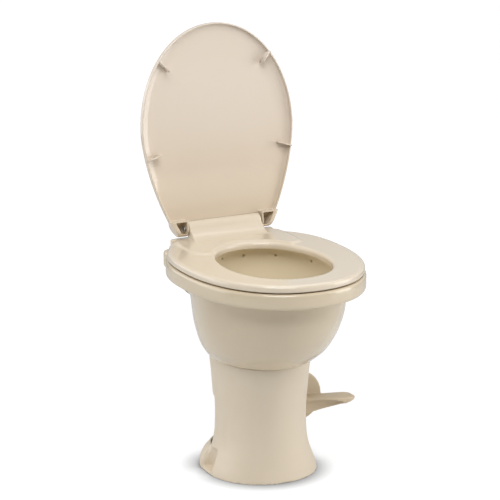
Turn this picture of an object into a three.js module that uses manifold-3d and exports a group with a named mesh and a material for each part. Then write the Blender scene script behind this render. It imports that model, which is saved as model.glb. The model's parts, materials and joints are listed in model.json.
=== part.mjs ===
// RV toilet: ceramic bowl on a plastic pedestal, half-ball flush valve worked by a foot pedal,
// seat and lid on two hinge posts. Millimetres, +Z up, front towards -Y.
// The floor is z = 0, the plane of symmetry is x = 0, and the origin is the middle of the foot.

import * as THREE from 'three';
import { mergeVertices } from 'three/addons/utils/BufferGeometryUtils.js';
import Module from 'manifold-3d';

const wasm = await Module();
wasm.setup();

// Fits shared by many pieces
const gap = 0.3;
const looseGap = 0.9;
const runningGap = 0.4;
const overrun = 4;
const weldTolerance = 1e-4;

// Facets
const sweepFacets = 32;
const roundFacets = 20;
const smallFacets = 8;
const holeFacets = 6;
const bushFacets = 16;
const valveFacets = 24;

// Pedestal and foot
const footHalfWidth = 118;
const footHalfDepth = 120;
const footPower = 2.07;
const footRearPower = 2.5;
const pedestalHeight = 245;
const pedestalWall = 5;
const rearCutY = 35;
const rearCutDrop = 91;
const rearCutTop = pedestalHeight - rearCutDrop;
const driveCutX = -50;
const driveCutDrop = 33;
const driveCutTop = pedestalHeight - driveCutDrop;
const heelGapHalfWidth = 58;
const heelSillHeight = 14;
const nicheHalfWidth = 17;
const nicheHalfDepth = 20;
const nicheX = 112;
const nicheY = 12;
const nicheFloor = 6;
const nicheTop = 50;

// Base plate, its screws and the floor seal
const plateThickness = 9;
const ledgeThickness = 5;
const ledgeWidth = 10;
const baseScrewRadius = 2.4;
const baseScrewHeadRadius = 4.6;
const baseScrewHeadHeight = 3;
const baseScrewX = 70;
const baseScrewY = 78;
const drainY = 56;
const drainRadius = 36;
const sealWidth = 7;
const sealHeight = 6;

// Flush valve
const ballRadius = 50;
const ballWall = 3;
const ballY = 34;
const ballDrop = 95;
const ballZ = pedestalHeight - ballDrop;
const ballBossLength = 9;
const ballEarRadius = 11;
const outletRadius = 38;
const cupWall = 4;
const cupGap = 2.2;
const tubeWall = 3.3;
const cupRise = 34;
const cupTopZ = ballZ + cupRise;
const cupShoulderRise = 12.5;
const funnelHeight = 24;
const flangeRadius = 66;
const flangeThickness = 8;
const sealRingWidth = 9;
const sealRingHeight = 5;
const sealClearance = 0.9;
const shaftRadius = 6;
const bushWall = 2.5;
const bushLength = 10;
const bushCollar = 2;

// Clamp between valve and bowl
const clampWall = 4;
const clampLip = 3;
const clampEarLength = 10;
const clampEarThickness = 7;
const clampScrewRadius = 2.5;
const clampHeadRadius = 4;
const clampHeadThickness = 3.5;
const clampNutThickness = 4.5;
const nutSides = 6;

// Bowl
const rimRise = 196.6;
const rimZ = pedestalHeight + rimRise;
const rimBandHeight = 32.6;
const rimHalfWidth = 186;
const rimFront = 241;
const rimRear = 206;
const rimY = -24;
const rimPower = 2.18;
const rimRearPower = 2.45;
const rimRound = 5;
const rimEdgeShare = 1 / 3;
const rimUnderShares = [0.2, 1.6];
const bodyHalfWidth = 154;
const bodyHalfDepth = 188;
const bodyY = -36;
const bodyPower = 2;
const basinHalfWidth = 126;
const basinHalfDepth = 160;
const basinY = -55;
const bowlWall = 11;
const skirtRoomShare = 0.8;
const deckHalfWidth = 141;
const deckRearY = 182;
const deckFrontY = 60;
const deckPower = 7;
const deckRootShares = [0.5, 0.5, 1 / 3];
const skirtRoofCover = 33;
const nutPocketGap = 1.2;
const channelWall = 9;
const channelHeight = 14;
const flushHoleShares = [0.056, 0.15, 0.23, 0.29, 0.38, 0.47, 0.56, 0.65, 0.75, 0.85, 0.95];
const flushHoleRadius = 2.6;
const rimInletRadius = 9;

// Seat
const seatInset = 3;
const seatLift = 2.4;
const seatBottomZ = rimZ + seatLift;
const seatThickness = 14.5;
const seatTopZ = seatBottomZ + seatThickness;
const seatEdgeRound = 5;
const seatEdgeShares = [[0.4, 1 / 3], [0.125, 1], [0, 1.8]];
const openingHalfWidth = 108;
const openingFront = 136;
const openingRear = 150;
const openingY = -67;
const openingPower = 2.12;
const openingFlare = 7;
const flareShares = [[1, 0], [1 / 3, 0.25], [0, 1]];
const flareAboveShare = 1.6;
const seatDeckStep = 3.5;
const seatDeckTopZ = seatTopZ + seatDeckStep;
const seatDeckRearShare = 0.25;
const seatDeckHalfWidth = 138;
const seatDeckTopHalfWidth = 118;
const seatDeckFrontY = 34;
const seatBumperLength = 30;
const seatBumperWidth = 11;
const seatBumperTurns = [300, 20];
const seatBumperPower = 4;

// Hinge line of seat and lid
const hingeY = 168;
const hingeRise = 38.9;
const hingeZ = rimZ + hingeRise;
const seatDeckBehind = 7;
const seatDeckRearY = hingeY - seatDeckBehind;
const barrelRadius = 15.5;
const barrelHalfLength = 84;
const hingeBaseBefore = 5;
const hingeBaseFrontY = hingeY - hingeBaseBefore;
const hingeBaseBehind = 11;
const hingeBaseRearY = hingeY + hingeBaseBehind;
const hingeBaseHeight = 18.4;
const hingeBaseTopZ = rimZ + hingeBaseHeight;
const hingeBaseEdge = 1.5;
const hingeBaseHalfWidth = 118;
const postX = 50;
const postWidth = 13;
const postEyeRadius = 11;
const postStemHalfDepth = 5;
const slotHeadRoom = 3;
const pinRadius = 4;
const pinHeadRadius = 6.5;
const pinHeadThickness = 3;
const pinPastPost = 12;
const pinInnerX = postX - pinPastPost;
const hingeBoltX = 70;
const hingeBoltY = (hingeBaseFrontY + hingeBaseRearY) / 2;
const hingeBoltRadius = 4;
const hingeBoltHeadRadius = 7;
const hingeBoltHeadThickness = 3;
const hingeNutRadius = 11;
const hingeNutThickness = 12;
const hingeNutTaperShare = 0.625;
const rampLength = 56;
const rampFrontY = hingeY - rampLength;
const rampRiseShare = 0.6;

// Lid, in its own closed position about the hinge line
const lidOpenAngle = 96.5;
const lidHalfWidth = 174;
const lidWidestReach = 204;
const lidTipReach = 422;
const lidHeelBehind = 116;
const lidHeelLength = lidWidestReach + lidHeelBehind;
const lidPower = 2.03;
const lidHeelPower = 1.6;
const lidWall = 3;
const lidCornerShare = 1.5;
const lidRimZ = -6;
const lidPanelZ = 3.5;
const lidCrown = 6;
const earGap = 2;
const earInnerX = barrelHalfLength + earGap;
const earWall = 3;
const earReach = 19;
const earOuterWall = 9;
const crownStartReach = 42;
const crownFullReach = 120;
const lidRibLength = 30;
const lidRibThickness = 2.2;
const lidRibZ = -12;
const lidRibTurns = [43, 346];

// Pedal and its drive
const pedalX = 112;
const pedalDrop = 26;
const pedalZ = ballZ - pedalDrop;
const pedalDiscRadius = 54;
const pedalDiscFrontY = 38;
const pedalDiscThickness = 12;
const pedalDiscRound = 3;
const paddleLength = 118;
const paddleFrontY = 6;
const paddleRearY = 44;
const paddleTop = 2;
const paddleRootHeight = 36;
const paddleTipHeight = 9;
const paddleRootX = 4;
const paddlePower = 5;
const scoopSizeShares = [0.72, 0.42, 0.44];
const scoopPlaceShare = 0.04;
const scoopDropShare = 0.6;
const cartridgeRadius = 42;
const cartridgeBore = 26;
const cartridgeLength = 38;
const cartridgeEnd = 6;
const padInnerX = 30;
const padOuterX = 62;
const padHalfHeight = 24;
const bracketFlangeThickness = 6;
const bracketScrewShare = 0.22;
const bracketHeadRoom = 7.5;
const heelRoom = 29;
const heelHeight = pedalZ - cartridgeRadius - heelRoom;
const pedalShaftRadius = 7;
const springWireRadius = 1.6;
const springRadius = 14;
const springTurns = 5;
const springStepsPerTurn = 8;
const springWireSides = 3;
const springEndRoom = 4.8;
const sectorTeeth = 36;
const pinionTeeth = 18;
const gearWidth = 8;
const gearStandoff = 14;
const rootDepthShare = 1.3;
const gearBacklash = 0.7;
const pressureAngle = 20;
const sectorHubRadius = 16;
const sectorRim = 9;
const sectorTurnAbove = 20;
const sectorTurnBelow = 52;

// Water side
const waterValveRadius = 21;
const waterValveLength = 30;
const waterWall = 5;
const waterArm = 8;
const waterFootHalf = 16;
const rotorRadius = 14;
const rotorLength = 18;
const inletRadius = 10.5;
const inletBoreRadius = 6;
const inletLength = 28;
const inletHexLength = 7;
const hoseRadius = 8;
const hoseBore = 4.6;
const hoseStub = 9;
const hoseSides = 4;
const hoseStepsPerPoint = 3;
const hoseStraight = 12.6;
const stubRadius = 4.2;
const breakerRadius = 17;
const breakerBodyRadius = 13;
const breakerHeight = 46;
const breakerCapHeight = 14;
const breakerCapTaper = 1.5;
const breakerSideRise = 12;
const breakerX = -60;

const radians = THREE.MathUtils.degToRad;

// Materials
function plastic(colour, roughness = 0.3) {
    return new THREE.MeshStandardMaterial({ color: colour, roughness, metalness: 0 });
}

function metal(colour, roughness = 0.35) {
    return new THREE.MeshStandardMaterial({ color: colour, roughness, metalness: 1 });
}

const bonePlastic = () => plastic(0xdccfb6);
const boneCeramic = () => plastic(0xdacdb3, 0.12);
const greyPlastic = () => plastic(0x8b8a86, 0.5);
const blackPlastic = () => plastic(0x26262a, 0.5);
const blackRubber = () => plastic(0x1b1b1c, 0.8);
const whiteNylon = () => plastic(0xe9e7df, 0.45);
const steel = () => metal(0xb9bcc0);
const brass = () => metal(0xc2a25a);

// Turns a three.js geometry into a solid whose faces point outwards
function solidOf(geometry) {
    const bare = geometry.index ? geometry.toNonIndexed() : geometry.clone();
    bare.deleteAttribute('normal');
    bare.deleteAttribute('uv');
    const merged = mergeVertices(bare, weldTolerance);
    const vertProperties = new Float32Array(merged.attributes.position.array);
    const triVerts = [];
    const source = merged.index.array;
    for (let i = 0; i < source.length; i += 3) {
        const [a, b, c] = [source[i], source[i + 1], source[i + 2]];
        if (a !== b && b !== c && c !== a) triVerts.push(a, b, c);
    }
    const corner = (i) => new THREE.Vector3().fromArray(vertProperties, i * 3);
    let signedVolume = 0;
    for (let i = 0; i < triVerts.length; i += 3) {
        const [a, b, c] = [corner(triVerts[i]), corner(triVerts[i + 1]), corner(triVerts[i + 2])];
        signedVolume += a.dot(b.cross(c));
    }
    if (signedVolume < 0) triVerts.reverse();
    const mesh = new wasm.Mesh({ numProp: 3, vertProperties, triVerts: new Uint32Array(triVerts) });
    return new wasm.Manifold(mesh);
}

function geometryOf(solid) {
    const mesh = solid.getMesh();
    const geometry = new THREE.BufferGeometry();
    geometry.setAttribute('position', new THREE.BufferAttribute(new Float32Array(mesh.vertProperties), 3));
    geometry.setIndex(new THREE.BufferAttribute(new Uint32Array(mesh.triVerts), 1));
    geometry.computeVertexNormals();
    return geometry;
}

const join = (first, ...others) => others.reduce((sum, solid) => sum.add(solid), first);
const cut = (first, ...tools) => tools.reduce((rest, tool) => rest.subtract(tool), first);

const ordered = (a, b) => [Math.min(a, b), Math.max(a, b)];

// Basic solids
function block(x0, x1, y0, y1, z0, z1) {
    const geometry = new THREE.BoxGeometry(x1 - x0, y1 - y0, z1 - z0);
    geometry.translate((x0 + x1) / 2, (y0 + y1) / 2, (z0 + z1) / 2);
    return solidOf(geometry);
}

// A rod or cone along an axis, from one coordinate to the next, at a place given by the other two
function rod(axis, from, to, place, radius, endRadius = radius, facets = roundFacets) {
    const geometry = new THREE.CylinderGeometry(endRadius, radius, to - from, facets);
    const middle = (from + to) / 2;
    if (axis === 'x') {
        geometry.rotateZ(-Math.PI / 2);
        geometry.translate(middle, place[0], place[1]);
    } else if (axis === 'y') {
        geometry.translate(place[0], middle, place[1]);
    } else {
        geometry.rotateX(Math.PI / 2);
        geometry.translate(place[0], place[1], middle);
    }
    return solidOf(geometry);
}

function sphere(radius, centre, facets = roundFacets) {
    const geometry = new THREE.SphereGeometry(radius, facets, facets / 2);
    geometry.rotateX(Math.PI / 2);
    geometry.translate(...centre);
    return solidOf(geometry);
}

// A turned piece about a vertical line through (x, y); profile points are [radius, height]
function turned(profile, x, y, facets = sweepFacets) {
    const points = profile.map(([r, z]) => new THREE.Vector2(r, z));
    points.push(points[0].clone());
    const geometry = new THREE.LatheGeometry(points, facets);
    geometry.rotateX(Math.PI / 2);
    geometry.translate(x, y, 0);
    return solidOf(geometry);
}

// An outline of [across, along] points extruded along X, with across = Y and along = Z
function extrudedAlongX(outline, x0, x1) {
    const shape = new THREE.Shape(outline.map(([y, z]) => new THREE.Vector2(y, z)));
    const geometry = new THREE.ExtrudeGeometry(shape, { depth: x1 - x0, bevelEnabled: false });
    geometry.rotateY(Math.PI / 2);
    geometry.rotateX(Math.PI / 2);
    geometry.translate(x0, 0, 0);
    return solidOf(geometry);
}

// An outline of [x, z] points extruded along Y
function extrudedAlongY(outline, y0, y1) {
    const shape = new THREE.Shape(outline.map(([x, z]) => new THREE.Vector2(x, z)));
    const geometry = new THREE.ExtrudeGeometry(shape, { depth: y1 - y0, bevelEnabled: false });
    geometry.rotateX(Math.PI / 2);
    geometry.translate(0, y1, 0);
    return solidOf(geometry);
}

function tube(points, radius, steps, facets, boreRadius = 0) {
    const path = new THREE.CatmullRomCurve3(points.map((p) => new THREE.Vector3(...p)), false, 'centripetal');
    const section = new THREE.Shape();
    section.absarc(0, 0, radius, 0, 2 * Math.PI);
    if (boreRadius > 0) section.holes.push(new THREE.Path().absarc(0, 0, boreRadius, 0, 2 * Math.PI, true));
    const options = { steps, curveSegments: facets, extrudePath: path, bevelEnabled: false };
    return solidOf(new THREE.ExtrudeGeometry(section, options));
}

// Closed rounded outline: half width to each side, front and rear half lengths, roundness by power
function outlinePoint(size, turn) {
    const [c, s] = [Math.cos(turn), Math.sin(turn)];
    const power = s < 0 ? size.power : size.rearPower ?? size.power;
    const reach = s < 0 ? size.front : size.rear;
    const x = size.halfWidth * Math.sign(c) * Math.abs(c) ** (2 / power);
    const y = reach * Math.sign(s) * Math.abs(s) ** (2 / power);
    return [x, y + size.y];
}

function outlineRing(size, facets) {
    const ring = [];
    for (let i = 0; i < facets; i += 1) {
        const [x, y] = outlinePoint(size, (2 * Math.PI * (i + 0.5)) / facets);
        ring.push(new THREE.Vector3(x + (size.x ?? 0), y, size.z));
    }
    return ring;
}

// Closed body through rings of equal count, capped at both ends
function bodyThrough(rings) {
    const positions = [];
    const count = rings[0].length;
    const triangle = (a, b, c) => positions.push(...a.toArray(), ...b.toArray(), ...c.toArray());
    const centreOf = (ring) => ring.reduce((sum, p) => sum.add(p), new THREE.Vector3()).divideScalar(count);
    const [first, last] = [rings[0], rings[rings.length - 1]];
    const [bottom, top] = [centreOf(first), centreOf(last)];
    for (let j = 0; j < count; j += 1) {
        const k = (j + 1) % count;
        triangle(bottom, first[k], first[j]);
        triangle(top, last[j], last[k]);
        for (let i = 0; i + 1 < rings.length; i += 1) {
            const [low, high] = [rings[i], rings[i + 1]];
            triangle(low[j], low[k], high[k]);
            triangle(low[j], high[k], high[j]);
        }
    }
    const geometry = new THREE.BufferGeometry();
    geometry.setAttribute('position', new THREE.Float32BufferAttribute(positions, 3));
    return solidOf(geometry);
}

const loft = (sizes, facets = sweepFacets) => bodyThrough(sizes.map((size) => outlineRing(size, facets)));

// The same outline drawn in by an inset all round
function inset(size, amount) {
    return {
        ...size,
        halfWidth: size.halfWidth - amount,
        front: size.front - amount,
        rear: size.rear - amount,
    };
}

const group = new THREE.Group();

function addPiece(name, solid, material, parent = group) {
    const mesh = new THREE.Mesh(geometryOf(solid), material);
    mesh.name = name;
    parent.add(mesh);
}

// Pedestal: shares of the pedestal height, the foot's half width and its half depth
const columnShares = [
    [0, 1, 1],
    [0.06, 0.965, 0.99],
    [0.15, 0.888, 0.972],
    [0.253, 0.812, 0.955],
    [0.36, 0.774, 0.936],
    [0.5, 0.765, 0.92],
    [0.78, 0.797, 0.957],
    [1, 0.839, 1.008],
];

// Heels behind the column: shares of their height and of the foot outline
const heelShares = [
    [0, 1],
    [0.2, 1],
    [0.62, 0.94],
    [0.88, 0.84],
    [1, 0.66],
];

function columnSection([heightShare, widthShare, depthShare]) {
    return {
        z: pedestalHeight * heightShare,
        halfWidth: footHalfWidth * widthShare,
        front: footHalfDepth * depthShare,
        rear: footHalfDepth * depthShare,
        y: 0,
        power: footPower,
    };
}

function heelSection([heightShare, sizeShare]) {
    return {
        z: heelHeight * heightShare,
        halfWidth: footHalfWidth * sizeShare,
        front: footHalfDepth * sizeShare,
        rear: footHalfDepth * sizeShare,
        y: 0,
        power: footPower,
        rearPower: footRearPower,
    };
}

function stretchEnds(sizes) {
    const first = { ...sizes[0], z: sizes[0].z - overrun };
    const last = { ...sizes[sizes.length - 1], z: sizes[sizes.length - 1].z + overrun };
    return [first, ...sizes, last];
}

const columnSizes = columnShares.map(columnSection);
const insideOf = (sizes) => sizes.map((size) => inset(size, pedestalWall));

function niche(side, growth) {
    const size = {
        x: side * nicheX,
        y: nicheY,
        halfWidth: nicheHalfWidth + growth,
        front: nicheHalfDepth + growth,
        rear: nicheHalfDepth + growth,
        power: footRearPower,
    };
    return loft([{ ...size, z: nicheFloor - growth }, { ...size, z: nicheTop + growth }], smallFacets);
}

const bossTop = plateThickness + gap + ledgeThickness * 2;

function baseScrewPlaces() {
    const places = [];
    for (const side of [-1, 1]) {
        for (const end of [-1, 1]) places.push([side * baseScrewX, end * baseScrewY]);
    }
    return places;
}

function makePedestal() {
    const outerColumn = loft(columnSizes);
    const far = footHalfWidth + overrun;
    const rearSpace = block(-far, far, rearCutY, far, -overrun, heelHeight);
    const heelOuter = loft(heelShares.map(heelSection)).intersect(rearSpace);
    const heelSizes = heelShares.map(heelSection);
    const drawnIn = (size) => ({ ...inset(size, pedestalWall), z: size.z - pedestalWall });
    const heelInnerSizes = heelSizes.map(drawnIn);
    const outer = join(outerColumn, heelOuter);
    const hollow = join(loft(stretchEnds(insideOf(columnSizes))), loft(heelInnerSizes));
    const ledgeTop = plateThickness + gap + ledgeThickness;
    const ledge = loft([{ ...columnSizes[0], z: plateThickness + gap }, { ...columnSizes[0], z: ledgeTop }]);
    const ledgeSize = inset(columnSizes[0], pedestalWall + ledgeWidth);
    const ledgeHole = loft([{ ...ledgeSize, z: -overrun }, { ...ledgeSize, z: ledgeTop + overrun }]);
    let solid = join(cut(outer, hollow), cut(ledge, ledgeHole).intersect(outer));
    const opening = block(-far, far, rearCutY, far, heelHeight - pedestalWall, rearCutTop);
    const heelGapBottom = heelSillHeight + gap;
    const heelGap = block(-heelGapHalfWidth, heelGapHalfWidth, rearCutY, far, heelGapBottom, rearCutTop);
    const driveRoom = block(driveCutX, far, rearCutY, far, heelHeight, driveCutTop);
    solid = cut(solid, cut(opening, heelOuter), heelGap, driveRoom);
    for (const side of [-1, 1]) {
        solid = join(solid, niche(side, pedestalWall / 2).intersect(outer));
        solid = cut(solid, niche(side, 0));
    }
    for (const place of baseScrewPlaces()) {
        solid = join(solid, baseScrewBoss(place));
        const holeTop = bossTop + overrun;
        solid = cut(solid, rod('z', -overrun, holeTop, place, baseScrewRadius + gap, undefined, smallFacets));
    }
    return solid;
}

function baseScrewBoss(place) {
    return rod('z', plateThickness + gap, bossTop, place, baseScrewHeadRadius * 2, undefined, roundFacets);
}

function makeBasePlate() {
    const bottom = inset(columnSizes[0], pedestalWall + gap);
    const top = inset(columnSizes[1], pedestalWall + gap);
    let plate = loft([{ ...bottom, z: 0 }, { ...top, z: plateThickness }]);
    plate = cut(plate, rod('z', -overrun, plateThickness + overrun, [0, drainY], drainRadius));
    plate = cut(plate, floorSealSolid(gap, overrun));
    plate = cut(plate, niche(-1, pedestalWall / 2 + gap), niche(1, pedestalWall / 2 + gap));
    const holeTop = plateThickness + overrun;
    const headTop = baseScrewHeadHeight + gap;
    for (const place of baseScrewPlaces()) {
        plate = cut(
            plate,
            rod('z', -overrun, holeTop, place, baseScrewRadius + gap, undefined, smallFacets),
            rod('z', -overrun, headTop, place, baseScrewHeadRadius + gap, undefined, smallFacets),
        );
    }
    return plate;
}

function floorSealSolid(clearance, below) {
    const inner = drainRadius + tubeWall - clearance;
    const outer = drainRadius + tubeWall + sealWidth + clearance;
    const top = sealHeight + clearance;
    return turned([[inner, -below], [outer, -below], [outer, top], [inner, top]], 0, drainY);
}

function makeBaseScrew(place) {
    const headBottom = gap;
    const length = plateThickness + ledgeThickness * 2;
    return join(
        rod('z', headBottom, baseScrewHeadHeight, place, baseScrewHeadRadius, undefined, smallFacets),
        rod('z', baseScrewHeadHeight / 2, length, place, baseScrewRadius, undefined, smallFacets),
    );
}

// Flush valve: cup round the half ball, leading down to the drain
const cupInnerRadius = ballRadius + cupGap;
const cupOuterRadius = cupInnerRadius + cupWall;
const tubeOuterRadius = drainRadius + tubeWall;
const valveBottomZ = plateThickness + gap;
const cupFloorZ = ballZ - ballRadius - cupGap;
const cupShoulderZ = cupFloorZ + cupShoulderRise;
const funnelBottomZ = cupFloorZ - funnelHeight;
const valveBossReach = cupOuterRadius + bushLength / 2;

function roundSize(z, radius, y) {
    return { z, halfWidth: radius, front: radius, rear: radius, y, power: 2 };
}

function makeValveBody() {
    const outerSizes = [
        roundSize(valveBottomZ, tubeOuterRadius + flangeThickness, drainY),
        roundSize(valveBottomZ + flangeThickness / 2, tubeOuterRadius + flangeThickness, drainY),
        roundSize(valveBottomZ + flangeThickness / 2, tubeOuterRadius, drainY),
        roundSize(funnelBottomZ, tubeOuterRadius, drainY),
        roundSize(cupShoulderZ, cupOuterRadius, ballY),
        roundSize(cupTopZ - flangeThickness, cupOuterRadius, ballY),
        roundSize(cupTopZ - flangeThickness, flangeRadius, ballY),
        roundSize(cupTopZ, flangeRadius, ballY),
    ];
    const innerSizes = [
        roundSize(-overrun, drainRadius, drainY),
        roundSize(funnelBottomZ, drainRadius, drainY),
        roundSize(cupShoulderZ, cupInnerRadius, ballY),
        roundSize(cupTopZ + overrun, cupInnerRadius, ballY),
    ];
    let solid = loft(outerSizes, valveFacets);
    const bossRadius = shaftRadius + bushWall + cupWall;
    solid = join(solid, rod('y', ballY - valveBossReach, ballY + valveBossReach, [0, ballZ], bossRadius));
    solid = join(solid, block(padInnerX, padOuterX, padFrontY, padRearY, padBottomZ, padTopZ));
    solid = cut(solid, loft(innerSizes, valveFacets));
    const boreRadius = shaftRadius + bushWall + gap;
    const boreReach = valveBossReach + overrun;
    solid = cut(solid, rod('y', ballY - boreReach, ballY + boreReach, [0, ballZ], boreRadius));
    const holeRadius = clampScrewRadius + gap;
    for (const z of bracketScrewHeights()) {
        const [from, to] = [padInnerX + cupWall, padOuterX + overrun];
        solid = cut(solid, rod('x', from, to, [padScrewY, z], holeRadius, undefined, smallFacets));
    }
    return solid;
}

// Pad on the valve body that carries the pedal bracket
const cartridgeFrontY = pedalDiscFrontY + pedalDiscThickness + clampWall;
const cartridgeRearY = cartridgeFrontY + cartridgeLength;
const padFrontY = cartridgeFrontY + clampWall;
const padRearY = cartridgeRearY - clampWall;
const padBottomZ = pedalZ - padHalfHeight;
const padTopZ = pedalZ + padHalfHeight;
const padScrewY = (padFrontY + padRearY) / 2;

function bracketScrewHeights() {
    const height = padTopZ - padBottomZ;
    return [padBottomZ + height * bracketScrewShare, padTopZ - height * bracketScrewShare];
}

function ballHeightAt(radius, clearance) {
    return ballZ + Math.sqrt((ballRadius + clearance) ** 2 - radius ** 2);
}

// The seal ring is held between the valve flange and the bowl, and bears on the ball
function makeBallSeal() {
    const inner = outletRadius;
    const edge = inner + sealRingWidth;
    const middle = (inner + edge) / 2;
    const outer = cupInnerRadius - sealClearance;
    const top = ballHeightAt(inner, sealClearance) + sealRingHeight;
    return turned(
        [
            [inner, ballHeightAt(inner, sealClearance)],
            [middle, ballHeightAt(middle, sealClearance)],
            [edge, ballHeightAt(edge, sealClearance)],
            [outer, ballHeightAt(edge, sealClearance)],
            [outer, top],
            [inner, top],
        ],
        0,
        ballY,
    );
}

const bowlBottomZ = ballHeightAt(outletRadius, sealClearance) + sealRingHeight + gap;
const gasketBottomZ = cupTopZ + gap;

function makeBowlGasket() {
    const top = bowlBottomZ - gap;
    const inner = cupInnerRadius + gap;
    const outer = flangeRadius - clampWall;
    return turned([[inner, gasketBottomZ], [outer, gasketBottomZ], [outer, top], [inner, top]], 0, ballY);
}

function makeFlushBall() {
    let solid = cut(sphere(ballRadius, [0, ballY, ballZ]), sphere(ballRadius - ballWall, [0, ballY, ballZ]));
    const far = ballRadius + overrun;
    const below = block(-far, far, ballY - far, ballY + far, ballZ - far, ballZ);
    const ear = rod('y', ballY - far, ballY + far, [0, ballZ], ballEarRadius);
    const shell = solid;
    solid = join(cut(shell, below), shell.intersect(ear));
    const bossReach = ballRadius - ballBossLength;
    for (const side of [-1, 1]) {
        const span = ordered(ballY + side * bossReach, ballY + side * (ballRadius - ballWall / 2));
        solid = join(solid, rod('y', ...span, [0, ballZ], ballEarRadius - ballWall));
    }
    return cut(solid, rod('y', ballY - far, ballY + far, [0, ballZ], shaftRadius + gap));
}

const shaftInnerReach = ballRadius - ballBossLength + gap;

function makeBallPivot() {
    const end = valveBossReach + bushCollar;
    return rod('y', ballY - end, ballY - shaftInnerReach, [0, ballZ], shaftRadius);
}

const gearFrontY = cartridgeRearY + gearStandoff;
const gearRearY = gearFrontY + gearWidth;

function makeBallShaft() {
    return rod('y', ballY + shaftInnerReach, gearRearY + bushCollar, [0, ballZ], shaftRadius);
}

function makeBallBush(side) {
    const place = [0, ballZ];
    const inner = ballY + side * (cupInnerRadius + gap);
    const outer = ballY + side * (valveBossReach + gap);
    const collarEnd = outer + side * bushCollar;
    const [low, high] = ordered(inner, collarEnd);
    const body = rod('y', low, high, place, shaftRadius + bushWall, undefined, bushFacets);
    const collarRadius = shaftRadius + bushWall * 2;
    const collar = rod('y', ...ordered(outer, collarEnd), place, collarRadius, undefined, bushFacets);
    return cut(join(body, collar), rod('y', low - overrun, high + overrun, place, shaftRadius + gap));
}

// Clamp halves hook over the valve flange and the bowl flange
const bowlFlangeTopZ = bowlBottomZ + flangeThickness;

function makeClampHalf(side) {
    const bottom = cupTopZ - flangeThickness - gap - clampWall;
    const top = bowlFlangeTopZ + gap + clampWall;
    const inner = flangeRadius + looseGap;
    const lip = flangeRadius - clampLip;
    const outer = inner + clampWall;
    const [lowLip, highLip] = [bottom + clampWall, top - clampWall];
    const outside = [[lip, bottom], [outer, bottom], [outer, top], [lip, top]];
    const inside = [[lip, highLip], [inner, highLip], [inner, lowLip], [lip, lowLip]];
    let solid = turned([...outside, ...inside], 0, ballY);
    const far = outer + clampEarLength;
    const middleZ = (bottom + top) / 2;
    const halfHeight = clampEarLength / 2;
    const holeRadius = clampScrewRadius + gap;
    for (const end of [-1, 1]) {
        const [near, tip] = ordered(end * (outer - clampWall / 2), end * far);
        const [front, rear] = ordered(ballY, ballY + side * clampEarThickness);
        solid = join(solid, block(near, tip, front, rear, middleZ - halfHeight, middleZ + halfHeight));
        const place = [clampScrewX(end), middleZ];
        const hole = rod('y', ballY - far, ballY + far, place, holeRadius, undefined, smallFacets);
        solid = cut(solid, hole);
    }
    const [front, rear] = ordered(ballY + side * gap, ballY + side * far);
    return solid.intersect(block(-far, far, front, rear, bottom, top));
}

function clampScrewX(end) {
    return end * (flangeRadius + gap + clampWall + clampEarLength / 2);
}

function makeClampScrew(end) {
    const z = (cupTopZ - flangeThickness + bowlFlangeTopZ) / 2;
    const place = [clampScrewX(end), z];
    const face = clampEarThickness + gap;
    const nutEnd = ballY + face + clampNutThickness;
    const headFront = ballY - face - clampHeadThickness;
    return join(
        rod('y', ballY - face, nutEnd + gap, place, clampScrewRadius, undefined, smallFacets),
        rod('y', headFront, ballY - face, place, clampHeadRadius, undefined, smallFacets),
        rod('y', ballY + face, nutEnd, place, clampHeadRadius, undefined, nutSides),
    );
}

// Bowl: shares of the height between skirt and band, then of the body's half width, half depth, offset
const bodyShares = [
    [0, 0.668, 0.663, 0.05],
    [0.09, 0.755, 0.725, 0.29],
    [0.165, 0.808, 0.785, 0.44],
    [0.275, 0.857, 0.852, 0.58],
    [0.48, 0.926, 0.928, 0.81],
    [0.72, 0.968, 0.984, 0.98],
    [0.95, 1, 1, 1],
];

// Basin: shares of its depth, half width and half depth, and of the way from outlet to rim centre
const basinShares = [
    [0, 1, 1, 1],
    [0.05, 1.03, 1.02, 1],
    [0.2, 1.0, 1.0, 0.98],
    [0.42, 0.93, 0.92, 0.86],
    [0.62, 0.79, 0.77, 0.64],
    [0.78, 0.6, 0.56, 0.35],
    [0.92, 0.38, 0.32, 0.05],
];

const skirtZ = pedestalHeight + gap;
const bandBottomZ = rimZ - rimBandHeight;
const channelMiddleZ = rimZ - rimBandHeight / 2;
const nutSeatZ = rimZ - rimBandHeight / 2;

function rimSize(z, drawnIn) {
    const size = {
        z,
        halfWidth: rimHalfWidth,
        front: rimFront,
        rear: rimRear,
        y: rimY,
        power: rimPower,
        rearPower: rimRearPower,
    };
    return inset(size, drawnIn);
}

function bodySection([heightShare, widthShare, depthShare, offsetShare]) {
    return {
        z: skirtZ + (bandBottomZ - skirtZ) * heightShare,
        halfWidth: bodyHalfWidth * widthShare,
        front: bodyHalfDepth * depthShare,
        rear: bodyHalfDepth * depthShare,
        y: bodyY * offsetShare,
        power: bodyPower,
    };
}

function basinSection([depthShare, widthShare, lengthShare, wayShare]) {
    return {
        z: rimZ - (rimZ - bowlBottomZ) * depthShare,
        halfWidth: basinHalfWidth * widthShare,
        front: basinHalfDepth * lengthShare,
        rear: basinHalfDepth * lengthShare,
        y: ballY + (basinY - ballY) * wayShare,
        power: footPower,
    };
}

// Outside of the neck: the basin at that height, grown by the wall
function neckSection(z) {
    const outletShares = [1, outletRadius / basinHalfWidth, outletRadius / basinHalfDepth, 0];
    const table = [...basinShares, outletShares];
    const depthShare = (rimZ - z) / (rimZ - bowlBottomZ);
    const next = table.findIndex(([share]) => share >= depthShare);
    const [above, below] = [table[next - 1], table[next]];
    const part = (depthShare - above[0]) / (below[0] - above[0]);
    const shares = above.map((value, i) => value + (below[i] - value) * part);
    return { ...inset(basinSection(shares), -bowlWall), z };
}

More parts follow.
